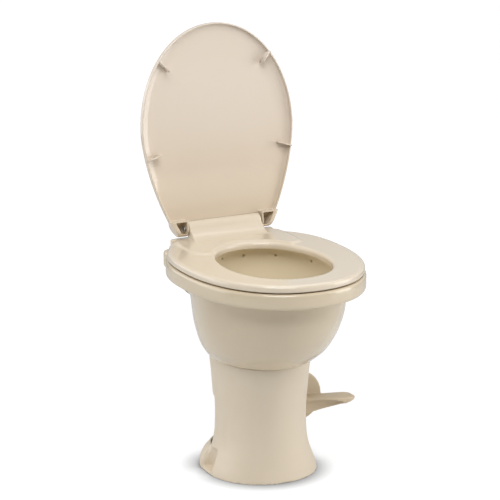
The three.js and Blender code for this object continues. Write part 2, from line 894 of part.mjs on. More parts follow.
function bowlOuter() {
    const neckZ = (bowlFlangeTopZ + skirtZ) / 2;
    const sizes = [
        roundSize(bowlBottomZ, flangeRadius, ballY),
        roundSize(bowlFlangeTopZ, flangeRadius, ballY),
        neckSection(bowlFlangeTopZ),
        neckSection(neckZ),
        neckSection(skirtZ),
        ...bodyShares.map(bodySection),
        rimSize(bandBottomZ + rimRound * rimUnderShares[0], rimRound * rimUnderShares[1]),
        rimSize(bandBottomZ + rimRound, 0),
        rimSize(rimZ - rimRound, 0),
        rimSize(rimZ - rimRound * rimEdgeShare, rimRound * rimEdgeShare),
        rimSize(rimZ, rimRound),
    ];
    return loft(sizes);
}

// Space between skirt and basin, open underneath
function skirtRoom() {
    const skirt = bodyShares.filter(([heightShare]) => heightShare < skirtRoomShare).map(bodySection);
    const roof = skirt[skirt.length - 1];
    const outer = skirt.map((size) => inset(size, bowlWall));
    const basin = basinShares.map(basinSection).reverse().map((size) => inset(size, -bowlWall));
    const neck = neckSection(skirtZ - overrun * 2);
    const low = { ...outer[0], z: skirtZ - overrun };
    const space = loft([low, ...outer]);
    const kept = basin.filter((size) => size.z > skirtZ && size.z < roof.z + skirtRoofCover);
    return cut(space, loft([neck, neckSection(skirtZ), ...kept]));
}

function deckSize(z, grow) {
    const middle = (deckFrontY + deckRearY) / 2;
    const half = (deckRearY - deckFrontY) / 2;
    const halfWidth = deckHalfWidth + grow;
    return { z, halfWidth, front: half, rear: half + grow, y: middle, power: deckPower };
}

function bowlDeck() {
    const half = (deckRearY - deckFrontY) / 2;
    const rootZ = bandBottomZ - (bandBottomZ - skirtZ) / 2;
    const [rootWidth, rootFront, rootRear] = deckRootShares;
    const root = {
        ...deckSize(rootZ, 0),
        halfWidth: bodyHalfWidth * rootWidth,
        front: half * rootFront,
        rear: half * rootRear,
    };
    return loft([
        root,
        deckSize(bandBottomZ - rimRound, -rimRound),
        deckSize(bandBottomZ, 0),
        deckSize(rimZ - rimRound, 0),
        deckSize(rimZ - rimRound * rimEdgeShare, -rimRound * rimEdgeShare),
        deckSize(rimZ, -rimRound),
    ]);
}

function makeBowl() {
    let solid = join(bowlOuter(), bowlDeck());
    const basin = basinShares.map(basinSection).reverse();
    const outlet = roundSize(bowlBottomZ - overrun, outletRadius, ballY);
    const mouth = { ...basin[basin.length - 1], z: rimZ + overrun };
    solid = cut(solid, loft([outlet, { ...outlet, z: basin[0].z - overrun }, ...basin, mouth]));
    solid = cut(solid, skirtRoom(), rimChannel());
    for (const share of flushHoleShares) solid = cut(solid, flushHole(2 * Math.PI * share));
    const inletStart = basinY + basinHalfDepth + channelWall;
    solid = cut(solid, rod('y', inletStart, deckRearY + overrun, [0, channelMiddleZ], rimInletRadius));
    const [low, far] = [bandBottomZ - rimBandHeight * 2, deckRearY + overrun * 2];
    const pocketHalf = hingeNutRadius + nutPocketGap;
    for (const side of [-1, 1]) {
        const place = [side * hingeBoltX, hingeBoltY];
        const [x0, x1] = [place[0] - pocketHalf, place[0] + pocketHalf];
        const hole = rod('z', low, rimZ + overrun, place, hingeBoltRadius + gap * 2, undefined, smallFacets);
        const pocket = block(x0, x1, hingeBoltY - pocketHalf, far, low, nutSeatZ);
        solid = cut(solid, hole, pocket);
    }
    return solid;
}

function channelSize(z, drawnIn) {
    const wide = basinSection(basinShares[1]);
    return { ...inset(wide, -channelWall - drawnIn), z, power: footPower };
}

function rimChannel() {
    const [low, high] = [channelMiddleZ - channelHeight / 2, channelMiddleZ + channelHeight / 2];
    const outer = loft([channelSize(low, channelHeight), channelSize(high, channelHeight)]);
    const inner = loft([channelSize(low - overrun, 0), channelSize(high + overrun, 0)]);
    return cut(outer, inner);
}

function flushHole(turn) {
    const inside = basinSection(basinShares[1]);
    const [x0, y0] = outlinePoint(inset(inside, channelWall), turn);
    const [x1, y1] = outlinePoint(inset(inside, -channelWall - channelHeight / 2), turn);
    const from = new THREE.Vector3(x0, y0, channelMiddleZ);
    const to = new THREE.Vector3(x1, y1, channelMiddleZ);
    const length = from.distanceTo(to);
    const geometry = new THREE.CylinderGeometry(flushHoleRadius, flushHoleRadius, length, holeFacets);
    const direction = to.clone().sub(from).normalize();
    const spin = new THREE.Quaternion().setFromUnitVectors(new THREE.Vector3(0, 1, 0), direction);
    geometry.applyQuaternion(spin);
    const middle = from.clone().add(to).divideScalar(2);
    geometry.translate(middle.x, middle.y, middle.z);
    return solidOf(geometry);
}

// Seat
function seatRingSize(z, drawnIn) {
    return rimSize(z, drawnIn + seatInset);
}

function openingSize(z, grow) {
    const size = {
        z,
        halfWidth: openingHalfWidth,
        front: openingFront,
        rear: openingRear,
        y: openingY,
        power: openingPower,
    };
    return inset(size, -grow);
}

function seatDeckSize(z, halfWidth, rearY) {
    const middle = (seatDeckFrontY + seatDeckRearY) / 2;
    const half = (seatDeckRearY - seatDeckFrontY) / 2;
    return { z, halfWidth, front: half, rear: rearY - middle, y: middle, power: deckPower };
}

// Profile of the hinge block in Y and Z: a ramp off the deck that ends in the barrel
function hingeBlockProfile() {
    const profile = [];
    const steps = 8;
    const rise = (hingeZ - seatDeckTopZ) * (1 + rampRiseShare / steps);
    const run = hingeY - Math.sqrt(barrelRadius ** 2 - (seatDeckTopZ + rise - hingeZ) ** 2) - rampFrontY;
    for (let i = 0; i < steps; i += 1) {
        const share = i / steps;
        profile.push([rampFrontY + run * share, seatDeckTopZ + rise * share ** 2]);
    }
    const first = Math.PI - Math.asin((seatDeckTopZ + rise - hingeZ) / barrelRadius);
    const last = -Math.PI / 2 - Math.asin((hingeY - seatDeckRearY) / barrelRadius);
    for (let i = 0; i <= steps * 2; i += 1) {
        const turn = first - ((first - last) * i) / (steps * 2);
        profile.push([hingeY + barrelRadius * Math.cos(turn), hingeZ + barrelRadius * Math.sin(turn)]);
    }
    profile.push([seatDeckRearY, seatDeckTopZ - seatEdgeRound]);
    profile.push([rampFrontY, seatDeckTopZ - seatEdgeRound]);
    return profile;
}

function makeSeat() {
    const edge = seatEdgeRound;
    let solid = loft([
        seatRingSize(seatBottomZ, edge / 2),
        seatRingSize(seatBottomZ + edge / 2, 0),
        seatRingSize(seatTopZ - edge, 0),
        ...seatEdgeShares.map(([down, into]) => seatRingSize(seatTopZ - edge * down, edge * into)),
    ]);
    const shoulderZ = seatTopZ - edge;
    const deck = loft([
        seatDeckSize(seatBottomZ, seatDeckHalfWidth - edge / 2, seatDeckRearY - edge / 2),
        seatDeckSize(seatBottomZ + edge / 2, seatDeckHalfWidth, seatDeckRearY),
        seatDeckSize(shoulderZ, seatDeckHalfWidth, seatDeckRearY),
        seatDeckSize(seatDeckTopZ - gap, seatDeckTopHalfWidth + edge / 2, seatDeckRearY),
        seatDeckSize(seatDeckTopZ, seatDeckTopHalfWidth, seatDeckRearY - edge * seatDeckRearShare),
    ]);
    const flareSize = ([down, out]) => openingSize(seatTopZ - openingFlare * down, openingFlare * out);
    const hingeBlock = extrudedAlongX(hingeBlockProfile(), -barrelHalfLength, barrelHalfLength);
    const pastDeck = block(-rimHalfWidth, rimHalfWidth, seatDeckRearY, deckRearY * 2, 0, seatDeckTopZ * 2);
    solid = join(cut(join(solid, deck), pastDeck), hingeBlock);
    solid = cut(
        solid,
        loft([
            openingSize(seatBottomZ - overrun, 0),
            ...flareShares.map(flareSize),
            openingSize(seatDeckTopZ + overrun, openingFlare * flareAboveShare),
        ]),
    );
    const half = postWidth / 2 + looseGap;
    const front = hingeY - postStemHalfDepth - looseGap;
    const rear = hingeY + barrelRadius + overrun;
    const [bottom, top] = [seatBottomZ - overrun, hingeZ + postStemHalfDepth + slotHeadRoom];
    for (const side of [-1, 1]) {
        const [x0, x1] = [side * postX - half, side * postX + half];
        const room = rod('x', x0, x1, [hingeY, hingeZ], postEyeRadius + looseGap);
        const behind = block(x0, x1, hingeY, rear, bottom, top);
        solid = cut(solid, room, behind, block(x0, x1, front, rear, bottom, hingeZ));
    }
    const boreEnd = barrelHalfLength + overrun;
    return cut(solid, rod('x', -boreEnd, boreEnd, [hingeY, hingeZ], pinRadius + gap, undefined, bushFacets));
}

function seatBumperPlaces() {
    const middleLine = inset(rimSize(0, 0), (rimHalfWidth - openingHalfWidth) / 2);
    const places = [];
    for (const side of [-1, 1]) {
        for (const turn of seatBumperTurns) {
            const [x, y] = outlinePoint(middleLine, radians(turn));
            places.push([side * x, y]);
        }
    }
    return places;
}

function makeSeatBumper([x, y]) {
    const [halfLength, halfWidth] = [seatBumperLength / 2, seatBumperWidth / 2];
    const size = { x, halfWidth, front: halfLength, rear: halfLength, y, power: seatBumperPower };
    return loft([{ ...size, z: rimZ + gap }, { ...size, z: seatBottomZ - gap }], smallFacets);
}

// Hinge base, pins, bolts and nuts
const boltHeadZ = hingeBaseTopZ - hingeBoltHeadThickness - gap;

function makeHingeBase() {
    const middle = (hingeBaseFrontY + hingeBaseRearY) / 2;
    const half = (hingeBaseRearY - hingeBaseFrontY) / 2;
    const size = { halfWidth: hingeBaseHalfWidth, front: half, rear: half, y: middle, power: deckPower };
    let solid = loft([
        { ...size, z: rimZ + gap },
        { ...size, z: hingeBaseTopZ - hingeBaseEdge },
        { ...inset(size, hingeBaseEdge), z: hingeBaseTopZ },
    ]);
    for (const side of [-1, 1]) {
        const [x0, x1] = [side * postX - postWidth / 2, side * postX + postWidth / 2];
        const [y0, y1] = [hingeY - postStemHalfDepth, hingeY + postStemHalfDepth];
        const stem = block(x0, x1, y0, y1, rimZ + gap * 2, hingeZ);
        const eye = rod('x', x0, x1, [hingeY, hingeZ], postEyeRadius);
        const [from, to] = [x0 - overrun, x1 + overrun];
        const pinHole = rod('x', from, to, [hingeY, hingeZ], pinRadius + gap, undefined, bushFacets);
        const place = [side * hingeBoltX, hingeBoltY];
        const boltHole = rod('z', rimZ, hingeBaseTopZ, place, hingeBoltRadius + gap, undefined, smallFacets);
        const [low, high] = [boltHeadZ - gap, hingeBaseTopZ + overrun];
        const headRoom = rod('z', low, high, place, hingeBoltHeadRadius + gap, undefined, bushFacets);
        solid = cut(join(solid, stem, eye), pinHole, boltHole, headRoom);
    }
    return solid;
}

function makeHingeBolt(side) {
    const place = [side * hingeBoltX, hingeBoltY];
    const tipZ = nutSeatZ - hingeNutThickness - overrun;
    const headTopZ = boltHeadZ + hingeBoltHeadThickness;
    return join(
        rod('z', tipZ, boltHeadZ + gap, place, hingeBoltRadius, undefined, smallFacets),
        rod('z', boltHeadZ, headTopZ, place, hingeBoltHeadRadius, undefined, bushFacets),
    );
}

function makeHingeNut(side) {
    const place = [side * hingeBoltX, hingeBoltY];
    const top = nutSeatZ - gap;
    const tipRadius = hingeNutRadius * hingeNutTaperShare;
    const body = rod('z', top - hingeNutThickness, top, place, tipRadius, hingeNutRadius);
    const wing = block(
        place[0] - hingeNutRadius,
        place[0] + hingeNutRadius,
        hingeBoltY - clampWall / 2,
        hingeBoltY + clampWall / 2,
        top - hingeNutThickness,
        top,
    );
    return cut(join(body, wing), rod('z', 0, rimZ, place, hingeBoltRadius + gap, undefined, smallFacets));
}

function makeHingePin(side) {
    const inner = side * pinInnerX;
    const head = side * (earInnerX + earWall + gap);
    const headEnd = head + side * pinHeadThickness;
    return join(
        rod('x', ...ordered(inner, headEnd), [hingeY, hingeZ], pinRadius, undefined, smallFacets),
        rod('x', ...ordered(head, headEnd), [hingeY, hingeZ], pinHeadRadius, undefined, smallFacets),
    );
}

// Lid: outline about the hinge line, reach counted forwards from it
function lidOutlinePoint(turn, drawnIn) {
    const [c, s] = [Math.cos(turn), Math.sin(turn)];
    const power = s > 0 ? lidPower : lidHeelPower;
    const length = (s > 0 ? lidTipReach - lidWidestReach : lidHeelLength) - drawnIn;
    const x = (lidHalfWidth - drawnIn) * Math.sign(c) * Math.abs(c) ** (2 / power);
    const reach = lidWidestReach + length * Math.sign(s) * Math.abs(s) ** (2 / power);
    return [x, -reach];
}

function lidOutline(drawnIn) {
    const points = [];
    for (let i = 0; i < sweepFacets; i += 1) {
        points.push(lidOutlinePoint((2 * Math.PI * (i + 0.5)) / sweepFacets, drawnIn));
    }
    return points;
}

function lidLayer(z, drawnIn) {
    return lidOutline(drawnIn).map(([x, y]) => new THREE.Vector3(x, y, z)).reverse();
}

// Crowned layer that stays flat near the hinge line, where the raised seat passes over it
function crownLayer(z, heightShare, drawnIn) {
    const layer = lidLayer(z, drawnIn);
    for (const point of layer) {
        const reachShare = THREE.MathUtils.smoothstep(-point.y, crownStartReach, crownFullReach);
        point.z += lidCrown * heightShare * reachShare;
    }
    return layer;
}

const lidTopZ = lidPanelZ + lidWall;
const crownShares = [[0, 0], [0.4, 0.06], [0.72, 0.2], [0.93, 0.5], [1, 0.85]];

function lidOuterBody() {
    const layers = [lidLayer(lidRimZ, 0), lidLayer(lidTopZ - lidWall / 2, 0)];
    for (const [heightShare, inShare] of crownShares) {
        layers.push(crownLayer(lidTopZ, heightShare, lidHalfWidth * inShare + lidWall / 2));
    }
    return bodyThrough(layers);
}

function lidInnerBody() {
    const layers = [lidLayer(lidRimZ - overrun, lidWall), lidLayer(lidPanelZ - lidWall, lidWall)];
    for (const [heightShare, inShare] of crownShares) {
        layers.push(crownLayer(lidPanelZ, heightShare, lidHalfWidth * inShare + lidWall * lidCornerShare));
    }
    return bodyThrough(layers);
}

function lidEar(side) {
    const outerX = lidHalfWidth;
    const [x0, x1] = side > 0 ? [earInnerX, outerX] : [-outerX, -earInnerX];
    const round = rod('x', x0, x1, [0, 0], barrelRadius);
    const front = block(x0, x1, -earReach, 0, -barrelRadius, lidTopZ);
    return join(round, front);
}

function lidEarPocket(side) {
    const [x0, x1] = side > 0 ? [earInnerX + earWall, lidHalfWidth] : [-lidHalfWidth, -earInnerX - earWall];
    const round = rod('x', x0, x1, [0, 0], barrelRadius - earWall);
    const front = block(x0, x1, -earReach + earWall, 0, -barrelRadius - overrun, lidPanelZ);
    const [near, far] = [-earReach + earWall, barrelRadius - earWall * 2];
    const under = block(x0, x1, near, far, -barrelRadius - overrun, -earWall);
    return join(round, front, under);
}

// A rib from the rim wall towards the middle; it rests on the seat when the lid is down
function lidRib(turnDegrees, side) {
    const [x, y] = lidOutlinePoint(radians(turnDegrees), lidWall / 2);
    const away = new THREE.Vector2(-x * side, -lidWidestReach - y);
    const height = lidTopZ - lidRibZ;
    const geometry = new THREE.BoxGeometry(lidRibLength, lidRibThickness, height);
    geometry.translate(lidRibLength / 2, 0, 0);
    geometry.rotateZ(away.angle());
    geometry.translate(x * side, y, lidTopZ - height / 2);
    return solidOf(geometry);
}

function makeLid() {
    const far = lidTipReach * 2;
    const limitZ = barrelRadius * 2;
    const outer = lidOuterBody().intersect(block(-far, far, -far, 0, -far, far));
    let solid = cut(outer, lidInnerBody());
    const outlineLimit = bodyThrough([lidLayer(-limitZ, 0), lidLayer(limitZ, 0)]);
    const pocketLimit = bodyThrough([lidLayer(-limitZ, earOuterWall), lidLayer(limitZ, earOuterWall)]);
    for (const side of [-1, 1]) {
        solid = join(solid, lidEar(side).intersect(outlineLimit));
        solid = cut(solid, lidEarPocket(side).intersect(pocketLimit));
    }
    for (const side of [-1, 1]) {
        for (const turnDegrees of lidRibTurns) {
            const rib = lidRib(turnDegrees, side);
            const lower = rib.intersect(block(-far, far, -far, far, -far, lidPanelZ)).intersect(outlineLimit);
            solid = join(solid, lower, rib.intersect(outer));
        }
    }
    const barrelRoom = barrelRadius + runningGap;
    const edgeReach = Math.sqrt(barrelRoom ** 2 - lidTopZ ** 2);
    solid = cut(
        solid,
        block(-earInnerX, earInnerX, -edgeReach, far, -far, far),
        rod('x', -earInnerX, earInnerX, [0, 0], barrelRoom, undefined, sweepFacets),
    );
    const headSeatX = earInnerX + earWall;
    const headEndX = headSeatX + gap + pinHeadThickness + gap;
    const pinHole = rod('x', -headEndX, headEndX, [0, 0], pinRadius + gap, undefined, bushFacets);
    const headRooms = [-1, 1].map((side) => {
        const reach = ordered(side * headSeatX, side * headEndX);
        return rod('x', ...reach, [0, 0], pinHeadRadius + gap, undefined, bushFacets);
    });
    return cut(solid, pinHole, ...headRooms);
}

// Pedal: shares along the paddle of length, front, rear, top and height
const paddleShares = [
    [0, 0.05, 1, 0, 0.99],
    [0.12, 0, 1, 0.05, 0.94],
    [0.35, -0.08, 1, 0.25, 0.8],
    [0.6, -0.16, 1, 0.55, 0.62],
    [0.82, -0.12, 1, 0.85, 0.4],
    [0.94, 0, 0.94, 1.05, 0.27],
    [1, 0.2, 0.8, 1.3, 0.12],
];

function paddleRing([reachShare, frontShare, rearShare, dropShare, heightShare]) {
    const depth = paddleRearY - paddleFrontY;
    const front = paddleFrontY + depth * frontShare;
    const rear = paddleFrontY + depth * rearShare;
    const top = pedalZ + paddleTop - paddleTipHeight * dropShare;
    const height = paddleRootHeight * heightShare;
    const x = pedalX + paddleRootX + paddleLength * reachShare;
    const ring = [];
    for (let i = 0; i < roundFacets; i += 1) {
        const turn = (2 * Math.PI * (i + 0.5)) / roundFacets;
        const [c, s] = [Math.cos(turn), Math.sin(turn)];
        const y = (front + rear) / 2 + ((rear - front) / 2) * Math.sign(c) * Math.abs(c) ** (2 / paddlePower);
        const z = top - height / 2 + (height / 2) * Math.sign(s) * Math.abs(s) ** (2 / paddlePower);
        ring.push(new THREE.Vector3(x, y, z));
    }
    return ring;
}

function makePedal() {
    const place = [pedalX, pedalZ];
    const rearY = pedalDiscFrontY + pedalDiscThickness;
    const round = pedalDiscRound;
    const roundEnd = pedalDiscFrontY + round;
    const disc = join(
        rod('y', pedalDiscFrontY, roundEnd, place, pedalDiscRadius - round, pedalDiscRadius, sweepFacets),
        rod('y', roundEnd, rearY, place, pedalDiscRadius, undefined, sweepFacets),
    );
    const paddle = bodyThrough(paddleShares.map(paddleRing));
    const shaftHole = rod('y', pedalDiscFrontY - overrun, rearY + overrun, place, pedalShaftRadius + gap);
    const scoop = new THREE.SphereGeometry(1, roundFacets, smallFacets);
    const [lengthShare, depthShare, heightShare] = scoopSizeShares;
    scoop.scale(
        paddleLength * lengthShare,
        (paddleRearY - paddleFrontY) * depthShare,
        paddleRootHeight * heightShare,
    );
    const middleX = pedalX + paddleRootX + paddleLength * scoopPlaceShare;
    const middleZ = pedalZ + paddleTop - paddleRootHeight * scoopDropShare;
    scoop.translate(middleX, paddleFrontY, middleZ);
    return cut(join(disc, paddle), shaftHole, solidOf(scoop));
}

function makePedalBracket() {
    const place = [pedalX, pedalZ];
    const [near, far] = [padOuterX + gap, padOuterX + gap + bracketFlangeThickness];
    const body = rod('y', cartridgeFrontY, cartridgeRearY, place, cartridgeRadius, undefined, sweepFacets);
    const arm = block(near, pedalX, padFrontY, padRearY, padBottomZ + cupWall, padTopZ - cupWall);
    const flange = block(near, far, padFrontY, padRearY, padBottomZ, padTopZ);
    const [boreStart, boreEnd] = [cartridgeFrontY + cartridgeEnd, cartridgeRearY - cartridgeEnd];
    const bore = rod('y', boreStart, boreEnd, place, cartridgeBore);
    const [start, end] = [cartridgeFrontY - overrun, cartridgeRearY + overrun];
    const bushHole = rod('y', start, end, place, pedalShaftRadius + bushWall + gap);
    let solid = cut(join(body, arm, flange), bore, bushHole);
    const holeRadius = clampScrewRadius + gap;
    for (const z of waterScrewHeights()) {
        const bottom = boreEnd - overrun;
        solid = cut(solid, rod('y', bottom, end, [waterScrewX, z], holeRadius, undefined, smallFacets));
    }
    const headRadius = clampHeadRadius + looseGap;
    for (const z of bracketScrewHeights()) {
        const screwPlace = [padScrewY, z];
        const hole = rod('x', near - overrun, far + overrun, screwPlace, holeRadius, undefined, smallFacets);
        const roomEnd = far + bracketHeadRoom;
        const headRoom = rod('x', far, roomEnd, screwPlace, headRadius, undefined, smallFacets);
        solid = cut(solid, hole, headRoom);
    }
    return solid;
}

function makeBracketScrew(z) {
    const place = [padScrewY, z];
    const seat = padOuterX + gap + bracketFlangeThickness + gap;
    const tip = padOuterX - bracketFlangeThickness * 2;
    return join(
        rod('x', tip, seat + gap, place, clampScrewRadius, undefined, smallFacets),
        rod('x', seat, seat + clampHeadThickness, place, clampHeadRadius, undefined, smallFacets),
    );
}

function makePedalShaft() {
    const end = waterFrontY + waterWall + gap + rotorLength;
    return rod('y', pedalDiscFrontY, end, [pedalX, pedalZ], pedalShaftRadius);
}

function makePedalBush(end) {
    const face = end < 0 ? cartridgeFrontY : cartridgeRearY;
    const inner = face - end * (cartridgeEnd + bushCollar);
    const outer = face + end * gap;
    const collarEnd = outer + end * bushCollar;
    const place = [pedalX, pedalZ];
    const [low, high] = ordered(inner, collarEnd);
    const collarRadius = pedalShaftRadius + bushWall * 2;
    const body = rod('y', low, high, place, pedalShaftRadius + bushWall, undefined, bushFacets);
    const collar = rod('y', ...ordered(outer, collarEnd), place, collarRadius, undefined, bushFacets);
    return cut(join(body, collar), rod('y', low - overrun, high + overrun, place, pedalShaftRadius + gap));
}

// Torsion spring round the shaft, one unbroken wire
function makeReturnSpring() {
    const start = cartridgeFrontY + cartridgeEnd + bushCollar + springEndRoom;
    const end = cartridgeRearY - cartridgeEnd - bushCollar - springEndRoom;
    const steps = springTurns * springStepsPerTurn;
    const points = [];
    for (let i = 0; i <= steps; i += 1) {
        const turn = (2 * Math.PI * i) / springStepsPerTurn;
        const y = start + ((end - start) * i) / steps;
        points.push([pedalX + springRadius * Math.cos(turn), y, pedalZ + springRadius * Math.sin(turn)]);
    }
    const wallReach = cartridgeBore * Math.cos(Math.PI / roundFacets);
    const tail = Math.sqrt(wallReach ** 2 - (springWireRadius * 2) ** 2) - gap;
    points.unshift([pedalX + tail, start, pedalZ - springWireRadius]);
    points.push([pedalX + tail, end, pedalZ + springWireRadius]);
    return tube(points, springWireRadius, steps, springWireSides);
}

// Gears: involute teeth, with the centre distance shared by their teeth
const centreDistance = Math.hypot(pedalX, ballZ - pedalZ);
const gearModule = (2 * centreDistance) / (sectorTeeth + pinionTeeth);
const meshTurn = Math.atan2(ballZ - pedalZ, -pedalX);

function involuteTurn(radius, baseRadius) {
    const along = Math.sqrt(Math.max((radius / baseRadius) ** 2 - 1, 0));
    return along - Math.atan(along);
}

function toothFlank(teeth) {
    const pitch = (gearModule * teeth) / 2;
    const base = pitch * Math.cos(radians(pressureAngle));
    const halfTooth = Math.PI / (2 * teeth) - gearBacklash / (4 * pitch);
    const flank = [];
    const steps = 2;
    const start = Math.max(base, pitch - gearModule);
    for (let i = 0; i <= steps; i += 1) {
        const radius = start + ((pitch + gearModule - gap - start) * i) / steps;
        const turn = halfTooth + involuteTurn(pitch, base) - involuteTurn(radius, base);
        flank.push([radius, turn]);
    }
    flank.unshift([pitch - gearModule * rootDepthShare, flank[0][1]]);
    return flank;
}

function toothPoints(teeth, centreTurn) {
    const flank = toothFlank(teeth);
    const rising = flank.map(([radius, turn]) => [radius, centreTurn - turn]);
    const falling = flank.map(([radius, turn]) => [radius, centreTurn + turn]).reverse();
    return [...rising, ...falling];
}

const polarPlace = (place) => ([radius, turn]) => [
    place[0] + radius * Math.cos(turn),
    place[1] + radius * Math.sin(turn),
];

function makePinion() {
    const place = [0, ballZ];
    const facing = meshTurn + Math.PI;
    const pitchTurn = (2 * Math.PI) / pinionTeeth;
    const outline = [];
    for (let i = 0; i < pinionTeeth; i += 1) {
        outline.push(...toothPoints(pinionTeeth, facing + pitchTurn * (i + 0.5)).map(polarPlace(place)));
    }
    const gear = extrudedAlongY(outline, gearFrontY, gearRearY);
    return cut(gear, rod('y', gearFrontY - overrun, gearRearY + overrun, place, shaftRadius + gap));
}

function makeSector() {
    const place = [pedalX, pedalZ];
    const pitch = (gearModule * sectorTeeth) / 2;
    const pitchTurn = (2 * Math.PI) / sectorTeeth;
    const above = Math.round(radians(sectorTurnAbove) / pitchTurn);
    const below = Math.round(radians(sectorTurnBelow) / pitchTurn);
    const outline = [];
    for (let i = -above; i <= below; i += 1) {
        outline.push(...toothPoints(sectorTeeth, meshTurn + pitchTurn * i));
    }
    const root = pitch - gearModule * rootDepthShare;
    const innerRadius = root - sectorRim;
    const first = meshTurn - pitchTurn * (above + 0.5);
    const last = meshTurn + pitchTurn * (below + 0.5);
    outline.unshift([root, first]);
    outline.push([root, last]);
    const steps = 10;
    for (let i = 0; i <= steps; i += 1) outline.push([innerRadius, last + ((first - last) * i) / steps]);
    const rim = extrudedAlongY(outline.map(polarPlace(place)), gearFrontY, gearRearY);
    const spokes = [];
    for (const turn of [first + pitchTurn / 2, (first + last) / 2, last - pitchTurn / 2]) {
        const half = sectorRim / 2;
        const across = new THREE.Vector2(-Math.sin(turn), Math.cos(turn)).multiplyScalar(half);
        const [ex, ez] = polarPlace(place)([innerRadius + half, turn]);
        spokes.push(
            extrudedAlongY(
                [
                    [pedalX + across.x, pedalZ + across.y],
                    [pedalX - across.x, pedalZ - across.y],
                    [ex - across.x, ez - across.y],
                    [ex + across.x, ez + across.y],
                ],
                gearFrontY,
                gearRearY,
            ),
        );
    }
    const hub = rod('y', gearFrontY, gearRearY, place, sectorHubRadius);
    const bore = rod('y', gearFrontY - overrun, gearRearY + overrun, place, pedalShaftRadius + gap);
    return cut(join(rim, ...spokes, hub), bore);
}

// Water valve on the rear end of the pedal shaft: body, rotor, cap, and its foot on the bracket
const waterFrontY = gearRearY + bushCollar + gap;
const waterRearY = waterFrontY + waterValveLength;
const waterPortY = waterFrontY + waterWall + rotorLength / 2;
const waterFootX = pedalX + (cartridgeRadius + cartridgeBore) / 2;
const waterScrewX = waterFootX + waterArm / 2;

function waterScrewHeights() {
    return [pedalZ - waterFootHalf / 2, pedalZ + waterFootHalf / 2];
}

function makeWaterValveBody() {
    const place = [pedalX, pedalZ];
    const body = rod('y', waterFrontY, waterRearY, place, waterValveRadius);
    const footFront = cartridgeRearY + gap;
    const [low, high] = [pedalZ - waterFootHalf, pedalZ + waterFootHalf];
    const footRear = footFront + waterWall;
    const footX = [waterFootX - waterArm, waterFootX + waterArm];
    const armX = [waterFootX - waterArm, waterFootX - waterArm / 2];
    const foot = block(...footX, footFront, footRear, low, high);
    const arm = block(...armX, footFront, waterFrontY + waterWall, low, high);
    const bridge = block(pedalX, waterFootX, waterFrontY, waterFrontY + waterWall, low, high);
    const stubTop = pedalZ + waterValveRadius + hoseStub;
    const stub = rod('z', pedalZ, stubTop, [pedalX, waterPortY], stubRadius, undefined, smallFacets);
    const bossX = pedalX - waterValveRadius - waterWall;
    const boss = rod('x', bossX, pedalX, [waterPortY, pedalZ], inletRadius + tubeWall);
    const chamber = rod('y', waterFrontY + waterWall, waterRearY + overrun, place, rotorRadius + runningGap);
    const neck = rod('y', waterFrontY - overrun, waterRearY, place, pedalShaftRadius + runningGap);
    const ports = waterPorts(stubTop + overrun, inletBoreRadius);
    let solid = cut(join(body, foot, arm, bridge, stub, boss), chamber, neck, ...ports);
    const [from, to] = [footFront - overrun, footRear + overrun];
    const holeRadius = clampScrewRadius + gap;
    for (const z of waterScrewHeights()) {
        solid = cut(solid, rod('y', from, to, [waterScrewX, z], holeRadius, undefined, smallFacets));
    }
    return solid;
}

// Ways for the water: up into the hose stub and in from the inlet fitting
function waterPorts(topZ, inletRadiusInside) {
    const sideX = pedalX - waterValveRadius * 2;
    return [
        rod('z', pedalZ, topZ, [pedalX, waterPortY], stubRadius / 2, undefined, smallFacets),
        rod('x', sideX, pedalX, [waterPortY, pedalZ], inletRadiusInside, undefined, smallFacets),
    ];
}

function makeWaterValveScrew(z) {
    const seat = cartridgeRearY + gap * 2 + waterWall;
    const place = [waterScrewX, z];
    return join(
        rod('y', cartridgeRearY - cartridgeEnd, seat + gap, place, clampScrewRadius, undefined, smallFacets),
        rod('y', seat, seat + clampHeadThickness, place, clampHeadRadius, undefined, smallFacets),
    );
}

function makeWaterValveRotor() {
    const start = waterFrontY + waterWall + gap;
    const rotor = rod('y', start, start + rotorLength, [pedalX, pedalZ], rotorRadius);
    const [sideX, place] = [pedalX - rotorRadius * 2, [waterPortY, pedalZ]];
    const passage = rod('x', sideX, pedalX, place, stubRadius / 2, undefined, smallFacets);
    const boreEnd = start + rotorLength + overrun;
    const bore = rod('y', start - overrun, boreEnd, [pedalX, pedalZ], pedalShaftRadius + gap);
    return cut(rotor, passage, bore);
}

function makeWaterValveCap() {
    const place = [pedalX, pedalZ];
    const spigotFront = waterFrontY + waterWall + rotorLength + looseGap;
    const spigot = rod('y', spigotFront, waterRearY + waterWall, place, rotorRadius);
    const disc = rod('y', waterRearY + gap, waterRearY + waterWall, place, waterValveRadius);
    return cut(join(spigot, disc), rod('y', 0, waterRearY + gap, place, pedalShaftRadius + runningGap));
}

function makeInletFitting() {
    const end = pedalX - waterValveRadius - waterWall - gap;
    const place = [waterPortY, pedalZ];
    const hex = rod('x', end - inletHexLength, end, place, inletRadius + tubeWall, undefined, nutSides);
    const thread = rod('x', end - inletLength, end, place, inletRadius);
    const [from, to] = [end - inletLength - overrun, end + overrun];
    return cut(join(hex, thread), rod('x', from, to, place, inletBoreRadius, undefined, smallFacets));
}

// Vacuum breaker on the back of the bowl, between the two hoses
const breakerY = deckRearY + breakerRadius;
const breakerTopZ = bandBottomZ - gap * 2;
const breakerBottomZ = breakerTopZ - breakerHeight;
const breakerSideZ = breakerBottomZ + breakerSideRise;

